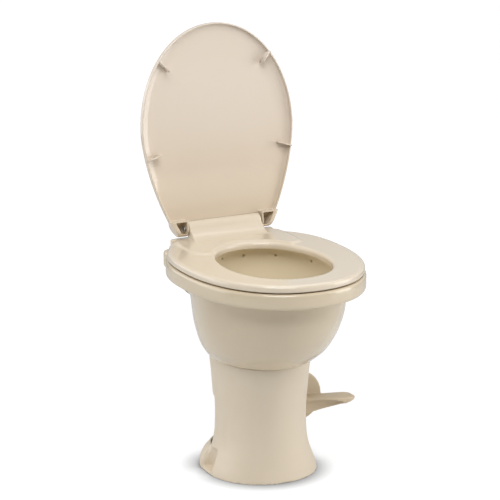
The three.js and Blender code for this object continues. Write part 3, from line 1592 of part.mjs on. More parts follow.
function makeVacuumBreaker() {
    const place = [breakerX, breakerY];
    const body = rod('z', breakerBottomZ, breakerTopZ, place, breakerBodyRadius);
    const capBottomZ = breakerTopZ - breakerCapHeight;
    const cap = rod('z', capBottomZ, breakerTopZ, place, breakerRadius, breakerRadius - breakerCapTaper);
    const lower = rod('z', breakerBottomZ - hoseStub, capBottomZ, place, stubRadius, undefined, smallFacets);
    const sideEnd = breakerX + breakerBodyRadius + hoseStub;
    const sidePlace = [breakerY, breakerSideZ];
    const side = rod('x', breakerX, sideEnd, sidePlace, stubRadius, undefined, smallFacets);
    const boreRadius = stubRadius / 2;
    const lowEnd = breakerBottomZ - hoseStub * 2;
    const lowerBore = rod('z', lowEnd, breakerSideZ, place, boreRadius, undefined, smallFacets);
    const sideBore = rod('x', breakerX, sideEnd + overrun, sidePlace, boreRadius, undefined, smallFacets);
    return cut(join(body, cap, lower, side), lowerBore, sideBore);
}

function makeRimInlet() {
    const end = deckRearY + tubeWall + hoseStub;
    const start = deckRearY - channelWall * 2;
    const place = [0, channelMiddleZ];
    const spigot = rod('y', start, end, place, stubRadius, undefined, smallFacets);
    const grommet = rod('y', start, deckRearY + gap, place, rimInletRadius - gap);
    const collar = rod('y', deckRearY + gap, deckRearY + tubeWall, place, rimInletRadius + tubeWall);
    const bore = rod('y', start - overrun, end + overrun, place, stubRadius / 2, undefined, smallFacets);
    return cut(join(spigot, grommet, collar), bore);
}

// Three points in a line away from a stub, so that the hose leaves it straight
function straightFrom(place, direction) {
    return [0, 1, 2].map((step) => place.map((value, i) => value + direction[i] * hoseStraight * step));
}

function makeHose(points) {
    return tube(points, hoseRadius, points.length * hoseStepsPerPoint, hoseSides, hoseBore);
}

function makeSupplyHose() {
    const start = [pedalX, waterPortY, pedalZ + waterValveRadius + gap];
    const end = [breakerX, breakerY, breakerBottomZ - looseGap];
    const middleZ = (start[2] + end[2]) / 2;
    return makeHose([
        ...straightFrom(start, [0, 0, 1]),
        [pedalX / 2, (waterPortY + breakerY) / 2, middleZ],
        ...straightFrom(end, [0, 0, -1]).reverse(),
    ]);
}

function makeRimHose() {
    const start = [breakerX + breakerBodyRadius + gap, breakerY, breakerSideZ];
    const end = [0, deckRearY + tubeWall + gap, channelMiddleZ];
    return makeHose([
        ...straightFrom(start, [1, 0, 0]),
        ...straightFrom(end, [0, 1, 0]).reverse(),
    ]);
}

// Assembly
addPiece('pedestal', makePedestal(), bonePlastic());
addPiece('base_plate', makeBasePlate(), blackPlastic());
addPiece('floor_seal', floorSealSolid(0, -gap), blackRubber());
baseScrewPlaces().forEach((place, i) => addPiece(`base_screw_${i + 1}`, makeBaseScrew(place), steel()));
addPiece('valve_body', makeValveBody(), blackPlastic());
addPiece('ball_seal', makeBallSeal(), blackRubber());
addPiece('bowl_gasket', makeBowlGasket(), blackRubber());
addPiece('clamp_half_front', makeClampHalf(-1), blackPlastic());
addPiece('clamp_half_rear', makeClampHalf(1), blackPlastic());
addPiece('clamp_screw_left', makeClampScrew(-1), steel());
addPiece('clamp_screw_right', makeClampScrew(1), steel());
addPiece('bowl', makeBowl(), boneCeramic());
addPiece('flush_ball', makeFlushBall(), greyPlastic());
addPiece('ball_pivot', makeBallPivot(), steel());
addPiece('ball_shaft', makeBallShaft(), steel());
addPiece('ball_bush_front', makeBallBush(-1), whiteNylon());
addPiece('ball_bush_rear', makeBallBush(1), whiteNylon());
addPiece('ball_pinion', makePinion(), whiteNylon());
addPiece('pedal', makePedal(), bonePlastic());
addPiece('pedal_shaft', makePedalShaft(), steel());
addPiece('pedal_bracket', makePedalBracket(), bonePlastic());
addPiece('bracket_screw_lower', makeBracketScrew(bracketScrewHeights()[0]), steel());
addPiece('bracket_screw_upper', makeBracketScrew(bracketScrewHeights()[1]), steel());
addPiece('pedal_bush_front', makePedalBush(-1), whiteNylon());
addPiece('pedal_bush_rear', makePedalBush(1), whiteNylon());
addPiece('return_spring', makeReturnSpring(), steel());
addPiece('drive_sector', makeSector(), whiteNylon());
addPiece('water_valve_body', makeWaterValveBody(), blackPlastic());
addPiece('water_valve_rotor', makeWaterValveRotor(), whiteNylon());
addPiece('water_valve_cap', makeWaterValveCap(), blackPlastic());
addPiece('water_valve_screw_lower', makeWaterValveScrew(waterScrewHeights()[0]), steel());
addPiece('water_valve_screw_upper', makeWaterValveScrew(waterScrewHeights()[1]), steel());
addPiece('inlet_fitting', makeInletFitting(), brass());
addPiece('vacuum_breaker', makeVacuumBreaker(), whiteNylon());
addPiece('rim_inlet', makeRimInlet(), blackRubber());
addPiece('supply_hose', makeSupplyHose(), greyPlastic());
addPiece('rim_hose', makeRimHose(), greyPlastic());
addPiece('seat', makeSeat(), bonePlastic());
seatBumperPlaces().forEach((place, i) => {
    addPiece(`seat_bumper_${i + 1}`, makeSeatBumper(place), whiteNylon());
});
addPiece('hinge_base', makeHingeBase(), bonePlastic());
for (const [side, word] of [[-1, 'left'], [1, 'right']]) {
    addPiece(`hinge_bolt_${word}`, makeHingeBolt(side), whiteNylon());
    addPiece(`hinge_nut_${word}`, makeHingeNut(side), whiteNylon());
    addPiece(`hinge_pin_${word}`, makeHingePin(side), steel());
}

const lidGroup = new THREE.Group();
lidGroup.position.set(0, hingeY, hingeZ);
lidGroup.rotation.x = -radians(lidOpenAngle);
group.add(lidGroup);
addPiece('lid', makeLid(), bonePlastic(), lidGroup);

export default group;
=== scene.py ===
import json
import math
import bmesh
import bpy
from mathutils import Matrix, Vector


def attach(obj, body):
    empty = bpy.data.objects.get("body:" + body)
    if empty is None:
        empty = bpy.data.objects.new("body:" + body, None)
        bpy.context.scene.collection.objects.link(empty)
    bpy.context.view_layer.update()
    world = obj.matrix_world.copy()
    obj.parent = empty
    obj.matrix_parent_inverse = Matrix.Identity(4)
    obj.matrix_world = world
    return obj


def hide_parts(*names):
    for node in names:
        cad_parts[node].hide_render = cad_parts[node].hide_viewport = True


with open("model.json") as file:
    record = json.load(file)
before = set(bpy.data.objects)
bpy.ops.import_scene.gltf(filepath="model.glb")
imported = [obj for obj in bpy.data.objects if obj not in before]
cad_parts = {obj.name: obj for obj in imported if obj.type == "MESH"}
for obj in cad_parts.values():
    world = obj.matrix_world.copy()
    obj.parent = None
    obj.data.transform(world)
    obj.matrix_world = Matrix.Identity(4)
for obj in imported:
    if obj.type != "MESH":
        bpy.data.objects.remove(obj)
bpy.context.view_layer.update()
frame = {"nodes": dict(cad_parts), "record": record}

bl_info = {
    "name": "RV toilet looks",
    "version": (1, 0, 0),
    "blender": (4, 5, 0),
    "location": "View3D > Sidebar > RV toilet",
    "description": "Smooth moulded and glazed pieces, finishes and studio for the rv toilet",
    "category": "Object",
}

MM = 0.001
SAME_PLACE, MERGE_REACH = 0.001 * MM, 0.003 * MM
# How far a cutting form runs past the face that it cuts, and the room between pieces, in millimetres
OVERRUN = 4.0
GAP = 0.3

# Pedestal, in millimetres
FOOT_HALF_WIDTH, FOOT_HALF_DEPTH, FOOT_POWER, FOOT_REAR_POWER = 118.0, 120.0, 2.07, 2.5
PEDESTAL_HEIGHT, PEDESTAL_WALL = 245.0, 5.0
REAR_CUT_Y, REAR_CUT_TOP = 35.0, 154.0
DRIVE_CUT_X, DRIVE_CUT_TOP = -50.0, 212.0
HEEL_HEIGHT, HEEL_GAP_HALF_WIDTH, HEEL_SILL_HEIGHT = 53.0, 58.0, 14.0
NICHE_X, NICHE_Y, NICHE_HALF_WIDTH, NICHE_HALF_DEPTH = 112.0, 12.0, 17.0, 20.0
NICHE_FLOOR, NICHE_TOP = 6.0, 50.0
PLATE_THICKNESS, LEDGE_THICKNESS, LEDGE_WIDTH = 9.0, 5.0, 10.0
BASE_SCREW_X, BASE_SCREW_Y, BASE_SCREW_RADIUS, BASE_SCREW_HEAD = 70.0, 78.0, 2.4, 4.6
COLUMN_SHARES = [
    (0, 1, 1), (0.06, 0.965, 0.99), (0.15, 0.888, 0.972), (0.253, 0.812, 0.955),
    (0.36, 0.774, 0.936), (0.5, 0.765, 0.92), (0.78, 0.797, 0.957), (1, 0.839, 1.008),
]
HEEL_SHARES = [(0, 1), (0.2, 1), (0.62, 0.94), (0.88, 0.84), (1, 0.66)]

# Flush valve
BALL_Y = 34.0
OUTLET_RADIUS, FLANGE_RADIUS, FLANGE_THICKNESS = 38.0, 66.0, 8.0
BOWL_BOTTOM_Z = 189.2

# Bowl
RIM_Z, RIM_BAND_HEIGHT, RIM_ROUND = 441.6, 32.6, 5.0
RIM_HALF_WIDTH, RIM_FRONT, RIM_REAR, RIM_Y = 186.0, 241.0, 206.0, -24.0
RIM_POWER, RIM_REAR_POWER = 2.18, 2.6
BODY_HALF_WIDTH, BODY_HALF_DEPTH, BODY_Y = 154.0, 188.0, -36.0
BASIN_HALF_WIDTH, BASIN_HALF_DEPTH, BASIN_Y = 126.0, 160.0, -55.0
BOWL_WALL = 11.0
DECK_HALF_WIDTH, DECK_REAR_Y, DECK_FRONT_Y, DECK_POWER = 141.0, 182.0, 60.0, 7.0
CHANNEL_WALL = 9.0
FLUSH_HOLE_SHARES = [0.056, 0.15, 0.23, 0.29, 0.38, 0.47, 0.56, 0.65, 0.75, 0.85, 0.95]
FLUSH_HOLE_RADIUS, RIM_INLET_RADIUS = 2.6, 9.0
COVE_RISE_SHARE, COVE_DRAW_SHARE, COVE_SHARES = 0.2, 1.6, (0.35, 0.6, 0.8)
SKIRT_ROOM_SHARE, LEVEL_SHARE = 0.76, 0.7
BODY_SHARES = [
    (0, 0.668, 0.663, 0.05), (0.09, 0.755, 0.725, 0.29), (0.165, 0.808, 0.785, 0.44),
    (0.275, 0.857, 0.852, 0.58), (0.48, 0.926, 0.928, 0.81), (0.72, 0.968, 0.984, 0.98),
    (0.95, 1, 1, 1),
]
BASIN_SHARES = [
    (0, 1, 1, 1), (0.05, 1.03, 1.02, 1), (0.2, 1.0, 1.0, 0.98), (0.42, 0.93, 0.92, 0.86),
    (0.62, 0.79, 0.77, 0.64), (0.78, 0.6, 0.56, 0.35), (0.92, 0.38, 0.32, 0.05),
]

# Seat and hinge line
SEAT_INSET, SEAT_BOTTOM_Z, SEAT_TOP_Z, SEAT_EDGE = 3.0, 444.0, 458.5, 5.0
OPENING_HALF_WIDTH, OPENING_FRONT, OPENING_REAR, OPENING_Y, OPENING_POWER = 108.0, 136.0, 150.0, -67.0, 2.12
OPENING_FLARE = 7.0
# Drop below the top and draw towards the middle, as shares of the seat's edge and of the opening's flare
SEAT_EDGE_SHARES = [(1, 0), (0.68, 0.1), (0.4, 0.33), (0.22, 0.62), (0.1, 1), (0.03, 1.4), (0, 1.8)]
OPENING_SHARES = [(1, 0), (0.55, 0.1), (1 / 3, 0.25), (0.12, 0.55), (0, 1)]
OPENING_TOP_SHARE = 1.6
SEAT_DECK_TOP_Z, SEAT_DECK_HALF_WIDTH, SEAT_DECK_TOP_HALF_WIDTH = 462.0, 138.0, 118.0
SEAT_DECK_FRONT_Y, SEAT_DECK_REAR_Y = 34.0, 161.0
HINGE_Y, HINGE_Z = 168.0, 480.5
BARREL_RADIUS, BARREL_HALF_LENGTH = 15.5, 84.0
POST_X, POST_WIDTH, POST_EYE_RADIUS, POST_STEM_HALF_DEPTH = 50.0, 13.0, 11.0, 5.0
PIN_RADIUS, SLOT_HEAD_ROOM = 4.0, 3.0
RAMP_FRONT_Y, RAMP_SHARE = 112.0, 0.6
HINGE_BOLT_X, HINGE_BOLT_Y, HINGE_BOLT_RADIUS, HINGE_NUT_RADIUS = 70.0, 171.0, 4.0, 11.0

# Lid, in its own closed place about the hinge line
LID_OPEN = math.radians(96.5)
LID_HALF_WIDTH, LID_WIDEST, LID_TIP, LID_HEEL = 174.0, 204.0, 422.0, 320.0
LID_POWER, LID_HEEL_POWER = 2.03, 1.6
LID_WALL, LID_RIM_Z, LID_PANEL_Z, LID_CROWN = 3.0, -6.0, 3.5, 6.0
EAR_INNER_X, EAR_WALL, EAR_OUTER_WALL, EAR_REACH, BARREL_ROOM = 86.0, 3.0, 9.0, 19.0, 15.9
CROWN_START, CROWN_FULL = 42.0, 120.0
LID_RIB_LENGTH, LID_RIB_THICKNESS, LID_RIB_Z = 30.0, 2.2, -12.0
LID_RIB_TURNS = (43, 346)
# Share of the lid's length over which the painted shade near the hinge fades out
LID_PAINTED_SHADE_SHARE = 0.7
CROWN_SHARES = [(0, 0), (0.4, 0.06), (0.72, 0.2), (0.93, 0.5), (1, 0.85)]

# Pedal
PEDAL_X, PEDAL_Z = 112.0, 124.0
PEDAL_DISC_RADIUS, PEDAL_DISC_FRONT_Y, PEDAL_DISC_THICKNESS = 54.0, 38.0, 12.0
PADDLE_LENGTH, PADDLE_FRONT_Y, PADDLE_REAR_Y = 118.0, 6.0, 44.0
PADDLE_TOP, PADDLE_ROOT_HEIGHT, PADDLE_TIP_HEIGHT, PADDLE_ROOT_X = 2.0, 36.0, 9.0, 4.0
PEDAL_SHAFT_RADIUS = 7.0
PADDLE_POWER, DISC_FACETS = 5, 96
SCOOP_SIZE_SHARES, SCOOP_PLACE_SHARE, SCOOP_DROP_SHARE = (0.72, 0.42, 0.44), 0.04, 0.6
PADDLE_SHARES = [
    (0, 0.05, 1, 0, 0.99), (0.12, 0, 1, 0.05, 0.94), (0.35, -0.08, 1, 0.25, 0.8),
    (0.6, -0.16, 1, 0.55, 0.62), (0.82, -0.12, 1, 0.85, 0.4), (0.94, 0, 0.94, 1.05, 0.27),
    (1, 0.2, 0.8, 1.3, 0.12),
]

# Water side
WATER_PORT_Y, WATER_VALVE_RADIUS, HOSE_RADIUS, HOSE_STRAIGHT = 130.3, 21.0, 8.0, 12.6
BREAKER_X, BREAKER_Y, BREAKER_BODY_RADIUS, BREAKER_BOTTOM_Z, BREAKER_SIDE_Z = -60.0, 199.0, 13.0, 362.4, 374.4
INLET_WALL = 3.3
HOSE_STEPS, HOSE_FACETS = 14, 40

# Pieces shown in their CAD form
EDGE_ROUND, SHARP_ANGLE, FLAT_ANGLE = 0.45, math.radians(38), math.radians(1.5)


# Sizes and colours a user would change


def length_property(name, description, default):
    kind = {"subtype": "DISTANCE", "unit": "LENGTH"}
    return bpy.props.FloatProperty(name=name, description=description, default=default, **kind)


def angle_property(name, description, degrees):
    default = math.radians(degrees)
    return bpy.props.FloatProperty(name=name, description=description, default=default, subtype="ANGLE")


def colour_property(name, description, *tone):
    kind = {"size": 3, "subtype": "COLOR"}
    return bpy.props.FloatVectorProperty(name=name, description=description, default=tone, **kind)


def count_property(name, description, default):
    return bpy.props.IntProperty(name=name, description=description, default=default)


class ToiletSizes(bpy.types.PropertyGroup):
    sides: count_property("Outline steps", "Points round each moulded outline", 144)
    bowl_voxel: length_property("Bowl fineness", "Mesh step on the bowl", 2.4 * MM)
    pedestal_voxel: length_property("Pedestal fineness", "Mesh step on the pedestal", 2.0 * MM)
    seat_voxel: length_property("Seat fineness", "Mesh step on the seat", 1.8 * MM)
    lid_voxel: length_property("Lid fineness", "Mesh step on the lid", 1.25 * MM)
    pedal_voxel: length_property("Pedal fineness", "Mesh step on the pedal", 1.2 * MM)
    most_faces: count_property("Most faces", "Faces a moulded piece may keep", 110000)
    lid_faces: count_property("Lid faces", "Faces the lid may keep", 130000)
    pedal_faces: count_property("Pedal faces", "Faces the pedal may keep", 60000)
    camera_azimuth: angle_property("Camera azimuth", "Turn of the camera about the upright axis", -27.12)
    camera_height: angle_property("Camera elevation", "Angle at which the camera looks down", 15.04)
    camera_distance: length_property("Camera distance", "From the aim point", 5434.55 * MM)
    camera_aim: bpy.props.FloatVectorProperty(
        name="Camera aim", description="Point at the middle of the picture",
        default=(-98.82 * MM, -150.0 * MM, 512.75 * MM), subtype="XYZ", unit="LENGTH",
    )
    camera_lens: bpy.props.FloatProperty(
        name="Camera lens", description="Focal length in millimetres", default=198.39
    )


class ToiletColours(bpy.types.PropertyGroup):
    bone: colour_property("Bone", "Moulded bone plastic", 0.735, 0.64, 0.505)
    bone_deep: colour_property("Bone, deeper", "Deeper tone of the plastic", 0.715, 0.615, 0.475)
    # The pedal's darker, warmer tones are painted shade, standing for the shade in its scoop
    pedal: colour_property("Pedal", "Plastic of the pedal", 0.62, 0.51, 0.36)
    pedal_painted_shade_deep: colour_property("Pedal, deeper", "Deeper tone of the pedal", 0.59, 0.48, 0.33)
    # The lid's tones are paler and less saturated than the bone plastic: a painted sheen, the whitish
    # reflection on the lid laid into its colour
    lid: colour_property("Lid", "Paler plastic of the lid", 0.72, 0.63, 0.535)
    lid_painted_sheen_deep: colour_property("Lid, deeper", "Deeper tone of the lid", 0.705, 0.61, 0.505)
    # Painted shade and painted warm reflection of the seat, strongest at the hinge
    lid_painted_shade: colour_property("Lid, painted hinge shade", "Warmer tone of the lid near the hinge", 0.67, 0.56, 0.425)
    # The basin's tones are brighter than the outer glaze as painted light: the light falling into the basin
    # laid into its colour
    basin: colour_property("Basin", "Glaze inside the bowl", 0.85, 0.76, 0.58)
    basin_painted_light_deep: colour_property("Basin, deeper", "Deeper tone inside the bowl", 0.83, 0.73, 0.54)
    glaze: colour_property("Glaze", "Bone glaze on the bowl", 0.66, 0.56, 0.41)
    glaze_deep: colour_property("Glaze, deeper", "Deeper tone of the glaze", 0.63, 0.53, 0.38)
    black: colour_property("Black plastic", "Glass-filled mechanism plastic", 0.022, 0.022, 0.025)
    grey: colour_property("Grey plastic", "Plain grey plastic", 0.27, 0.26, 0.245)
    rubber: colour_property("Rubber", "Seals, bumpers and hoses", 0.014, 0.014, 0.015)
    nylon: colour_property("Nylon", "Bushes, nuts and the flush ball", 0.78, 0.76, 0.69)
    steel: colour_property("Steel", "Shafts, screws and the spring", 0.56, 0.57, 0.58)
    brass: colour_property("Brass", "Water inlet", 0.62, 0.43, 0.17)


def sizes():
    return bpy.context.scene.toilet_sizes


def colours():
    return bpy.context.scene.toilet_colours


# Solids


def section(z, half_width, front, rear=None, y=0.0, power=2.0, rear_power=None, x=0.0):
    rear = front if rear is None else rear
    rear_power = power if rear_power is None else rear_power
    return {"z": z, "w": half_width, "f": front, "r": rear, "y": y, "p": power, "rp": rear_power, "x": x}


def inset(size, amount):
    return {**size, "w": size["w"] - amount, "f": size["f"] - amount, "r": size["r"] - amount}


def at_height(size, z):
    return {**size, "z": z}


def signed_power(value, power):
    return math.copysign(abs(value) ** (2 / power), value)


def outline_point(size, turn):
    c, s = math.cos(turn), math.sin(turn)
    power = size["p"] if s < 0 else size["rp"]
    reach = size["f"] if s < 0 else size["r"]
    return size["x"] + size["w"] * signed_power(c, power), size["y"] + reach * signed_power(s, power)


def ring_of(size, sides):
    ring = []
    for i in range(sides):
        x, y = outline_point(size, 2 * math.pi * (i + 0.5) / sides)
        ring.append(Vector((x, y, size["z"])))
    return ring


def smooth_rows(rows, count):
    """Rows of a table on a smooth curve without overshoot, even in the first column."""
    keys = [row[0] for row in rows]
    columns = list(zip(*rows))[1:]
    slopes = []
    for column in columns:
        steps = [(column[i + 1] - column[i]) / (keys[i + 1] - keys[i]) for i in range(len(keys) - 1)]
        inner = []
        for a, b in zip(steps, steps[1:]):
            inner.append(2 * a * b / (a + b) if a * b > 0 else 0.0)
        slopes.append([steps[0]] + inner + [steps[-1]])
    result = []
    for k in range(count):
        key = keys[0] + (keys[-1] - keys[0]) * k / (count - 1)
        i = max(j for j in range(len(keys) - 1) if key >= keys[j] or j == 0)
        span = keys[i + 1] - keys[i]
        t = min(max((key - keys[i]) / span, 0.0), 1.0)
        row = [key]
        for column, slope in zip(columns, slopes):
            h00, h10 = 2 * t ** 3 - 3 * t ** 2 + 1, t ** 3 - 2 * t ** 2 + t
            h01, h11 = -2 * t ** 3 + 3 * t ** 2, t ** 3 - t ** 2
            start = h00 * column[i] + h10 * span * slope[i]
            row.append(start + h01 * column[i + 1] + h11 * span * slope[i + 1])
        result.append(tuple(row))
    return result


def link(obj):
    bpy.context.scene.collection.objects.link(obj)
    return obj


def piece_from(name, points, faces):
    mesh = bpy.data.meshes.new(name)
    mesh.from_pydata([tuple(p * MM for p in point) for point in points], [], faces)
    work = bmesh.new()
    work.from_mesh(mesh)
    bmesh.ops.remove_doubles(work, verts=work.verts, dist=SAME_PLACE)
    bmesh.ops.recalc_face_normals(work, faces=work.faces)
    work.to_mesh(mesh)
    work.free()
    return link(bpy.data.objects.new(name, mesh))


def through_rings(name, rings, ribbon=False):
    """Closed body through rings of equal count; a ribbon end joins each point to its mirror image."""
    count = len(rings[0])
    points = [point for ring in rings for point in ring]
    faces = []
    for i in range(len(rings) - 1):
        for j in range(count):
            k = (j + 1) % count
            faces.append((i * count + j, i * count + k, (i + 1) * count + k, (i + 1) * count + j))
    last = (len(rings) - 1) * count
    faces.append(tuple(reversed(range(count))))
    if ribbon:
        for j in range(-(count // 4), count // 4 - 1):
            corners = (j, j + 1, count // 2 - 2 - j, count // 2 - 1 - j)
            faces.append(tuple(last + corner % count for corner in corners))
    else:
        faces.append(tuple(last + j for j in range(count)))
    return piece_from(name, points, faces)


def loft(rows, sides=None):
    return through_rings("form", [ring_of(row, sides or sizes().sides) for row in rows])


def block(x0, x1, y0, y1, z0, z1):
    corners = [(x, y, z) for x in (x0, x1) for y in (y0, y1) for z in (z0, z1)]
    faces = [(0, 1, 3, 2), (4, 6, 7, 5), (0, 4, 5, 1), (2, 3, 7, 6), (0, 2, 6, 4), (1, 5, 7, 3)]
    return piece_from("block", corners, faces)


def rod(axis, low, high, place, radius, facets=48):
    """Rod along an axis; place holds the other two coordinates in x, y, z order."""
    rings = []
    for reach in (low, high):
        ring = []
        for i in range(facets):
            turn = 2 * math.pi * (i + 0.5) / facets
            a, b = place[0] + radius * math.cos(turn), place[1] + radius * math.sin(turn)
            ring.append({"x": (reach, a, b), "y": (a, reach, b), "z": (a, b, reach)}[axis])
        rings.append(ring)
    return through_rings("rod", rings)


def evaluated(obj):
    depsgraph = bpy.context.evaluated_depsgraph_get()
    mesh = bpy.data.meshes.new_from_object(obj.evaluated_get(depsgraph))
    obj.modifiers.clear()
    obj.data = mesh
    return obj


def drop(*objects):
    for obj in objects:
        bpy.data.objects.remove(obj)


def combined(operation, first, tools):
    for tool in tools:
        step = first.modifiers.new(operation.lower(), "BOOLEAN")
        step.operation = operation
        step.solver = "EXACT"
        step.object = tool
        evaluated(first)
    drop(*tools)
    return first


def join(first, *others):
    return combined("UNION", first, others)


def cut(first, *tools):
    return combined("DIFFERENCE", first, tools)


def kept_inside(first, *limits):
    return combined("INTERSECT", first, limits)


def soften(obj, step, passes, limit=None):
    """Even mesh all over, with small fillets wherever faces met sharply."""
    remesh = obj.modifiers.new("even", "REMESH")
    remesh.mode = "VOXEL"
    remesh.voxel_size = step
    remesh.use_smooth_shade = True
    smooth = obj.modifiers.new("fillet", "SMOOTH")
    smooth.factor = 0.5
    smooth.iterations = passes
    evaluated(obj)
    limit = limit or sizes().most_faces
    found = sum(len(p.vertices) - 2 for p in obj.data.polygons)
    if found > limit:
        thin = obj.modifiers.new("thin", "DECIMATE")
        thin.ratio = limit / found
        evaluated(obj)
    return obj


def finish_piece(obj, name, material, body, slot, *nodes):
    obj.name = name
    obj.data.name = name
    obj.data.materials.clear()
    obj.data.materials.append(material)
    for polygon in obj.data.polygons:
        polygon.use_smooth = True
        polygon.material_index = 0
    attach(obj, body)
    if nodes:
        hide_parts(*nodes)
    return obj


# Finishes


def node_group(name, inputs, outputs):
    group = bpy.data.node_groups.new(name, "ShaderNodeTree")
    for label, kind, default in inputs:
        socket = group.interface.new_socket(name=label, in_out="INPUT", socket_type=kind)
        socket.default_value = default
    for label, kind in outputs:
        group.interface.new_socket(name=label, in_out="OUTPUT", socket_type=kind)
    source = group.nodes.new("NodeGroupInput")
    sink = group.nodes.new("NodeGroupOutput")
    return group, source, sink


def feed(tree, socket, value):
    """Gives an input a number or a colour, or links it to another node's output."""
    if isinstance(value, (int, float, tuple)):
        socket.default_value = value
    else:
        tree.links.new(value, socket)


def arithmetic(tree, operation, *values):
    node = tree.nodes.new("ShaderNodeMath")
    node.operation = operation
    for socket, value in zip(node.inputs, values):
        feed(tree, socket, value)
    return node.outputs[0]


def blended(tree, share, first, second):
    """A colour between two others."""
    node = tree.nodes.new("ShaderNodeMix")
    node.data_type = "RGBA"
    feed(tree, node.inputs["Factor"], share)
    feed(tree, node.inputs[6], first)
    feed(tree, node.inputs[7], second)
    return node.outputs[2]


def own_place(tree):
    return tree.nodes.new("ShaderNodeTexCoord").outputs["Object"]


def noise(tree, coordinates, scale, detail=2.0, roughness=0.5):
    node = tree.nodes.new("ShaderNodeTexNoise")
    feed(tree, node.inputs["Vector"], coordinates)
    feed(tree, node.inputs["Scale"], scale)
    node.inputs["Detail"].default_value = detail
    node.inputs["Roughness"].default_value = roughness
    return node.outputs["Fac"]


def mapped(tree, value, low, high, from_low=0.0, from_high=1.0):
    node = tree.nodes.new("ShaderNodeMapRange")
    node.interpolation_type = "SMOOTHSTEP"
    wanted = {"Value": value, "From Min": from_low, "From Max": from_high, "To Min": low, "To Max": high}
    for label, given in wanted.items():
        feed(tree, node.inputs[label], given)
    return node.outputs["Result"]


def tone_drift_group():
    """Slow drift between two tones, with a finer mottle laid over it."""
    name = "Tone drift"
    if name in bpy.data.node_groups:
        return bpy.data.node_groups[name]
    group, source, sink = node_group(
        name,
        [
            ("Tone A", "NodeSocketColor", (0.8, 0.8, 0.8, 1)),
            ("Tone B", "NodeSocketColor", (0.7, 0.7, 0.7, 1)),
            ("Broad Scale", "NodeSocketFloat", 6.0),
            ("Fine Scale", "NodeSocketFloat", 60.0),
        ],
        [("Color", "NodeSocketColor")],
    )
    where = own_place(group)
    broad = mapped(group, noise(group, where, source.outputs["Broad Scale"]), 0.0, 0.8, 0.2, 0.8)
    fine = mapped(group, noise(group, where, source.outputs["Fine Scale"], 3.0), 0.0, 0.2, 0.2, 0.8)
    share = arithmetic(group, "ADD", broad, fine)
    tone = blended(group, share, source.outputs["Tone A"], source.outputs["Tone B"])
    group.links.new(tone, sink.inputs["Color"])
    return group


def surface_group():
    """Roughness and height of a moulded or fired surface: slow waves and a fine peel."""
    name = "Skin of the surface"
    if name in bpy.data.node_groups:
        return bpy.data.node_groups[name]
    group, source, sink = node_group(
        name,
        [
            ("Wave Scale", "NodeSocketFloat", 14.0),
            ("Peel Scale", "NodeSocketFloat", 450.0),
            ("Peel Share", "NodeSocketFloat", 0.3),
            ("Roughness Low", "NodeSocketFloat", 0.2),
            ("Roughness High", "NodeSocketFloat", 0.3),
        ],
        [("Roughness", "NodeSocketFloat"), ("Height", "NodeSocketFloat")],
    )
    where = own_place(group)
    wave = noise(group, where, source.outputs["Wave Scale"], 1.0)
    peel = noise(group, where, source.outputs["Peel Scale"], 2.0, 0.6)
    rough = mapped(group, wave, source.outputs["Roughness Low"], source.outputs["Roughness High"], 0.2, 0.8)
    height = arithmetic(group, "ADD", wave, arithmetic(group, "MULTIPLY", peel, source.outputs["Peel Share"]))
    group.links.new(rough, sink.inputs["Roughness"])
    group.links.new(height, sink.inputs["Height"])
    return group


def brushed_group():
    """Fine drawn lines along the piece's upright axis, for metal."""
    name = "Drawn lines"
    if name in bpy.data.node_groups:
        return bpy.data.node_groups[name]
    group, source, sink = node_group(
        name,
        [
            ("Line Scale", "NodeSocketFloat", 900.0),
            ("Roughness Low", "NodeSocketFloat", 0.22),
            ("Roughness High", "NodeSocketFloat", 0.42),
        ],
        [("Roughness", "NodeSocketFloat"), ("Height", "NodeSocketFloat")],
    )
    where = own_place(group)
    stretch = group.nodes.new("ShaderNodeMapping")
    stretch.inputs["Scale"].default_value = (1.0, 0.05, 1.0)
    group.links.new(where, stretch.inputs["Vector"])
    lines = noise(group, stretch.outputs["Vector"], source.outputs["Line Scale"], 3.0, 0.65)
    rough = mapped(group, lines, source.outputs["Roughness Low"], source.outputs["Roughness High"], 0.3, 0.7)
    group.links.new(rough, sink.inputs["Roughness"])
    group.links.new(lines, sink.inputs["Height"])
    return group


def placed(tree, group, **values):
    node = tree.nodes.new("ShaderNodeGroup")
    node.node_tree = group
    for label, value in values.items():
        node.inputs[label.replace("_", " ")].default_value = value
    return node


def deeper(colour, share):
    return tuple(c * share for c in colour)


def opaque(colour):
    return (colour[0], colour[1], colour[2], 1.0)


def finish(name, tone_a, tone_b, broad, fine, skin, bump, distance, lines=False, **sockets):
    """A finish on the Principled shader: drifting tone, varied roughness and a bumped skin."""
    if name in bpy.data.materials:
        return bpy.data.materials[name]
    material = bpy.data.materials.new(name)
    material.use_nodes = True
    material.diffuse_color = opaque(tone_a)
    tree = material.node_tree
    shader = tree.nodes["Principled BSDF"]
    tones = {"Tone_A": opaque(tone_a), "Tone_B": opaque(tone_b)}
    tone = placed(tree, tone_drift_group(), Broad_Scale=broad, Fine_Scale=fine, **tones)
    tree.links.new(tone.outputs["Color"], shader.inputs["Base Color"])
    cover = placed(tree, brushed_group() if lines else surface_group(), **skin)
    tree.links.new(cover.outputs["Roughness"], shader.inputs["Roughness"])
    relief = tree.nodes.new("ShaderNodeBump")
    relief.inputs["Strength"].default_value = bump
    relief.inputs["Distance"].default_value = distance * MM
    tree.links.new(cover.outputs["Height"], relief.inputs["Height"])
    tree.links.new(relief.outputs["Normal"], shader.inputs["Normal"])
    for label, value in sockets.items():
        shader.inputs[label.replace("_", " ")].default_value = value
    return material


def skin_of(wave, peel, peel_share, rough_low, rough_high):
    return {
        "Wave_Scale": wave, "Peel_Scale": peel, "Peel_Share": peel_share,
        "Roughness_Low": rough_low, "Roughness_High": rough_high,
    }


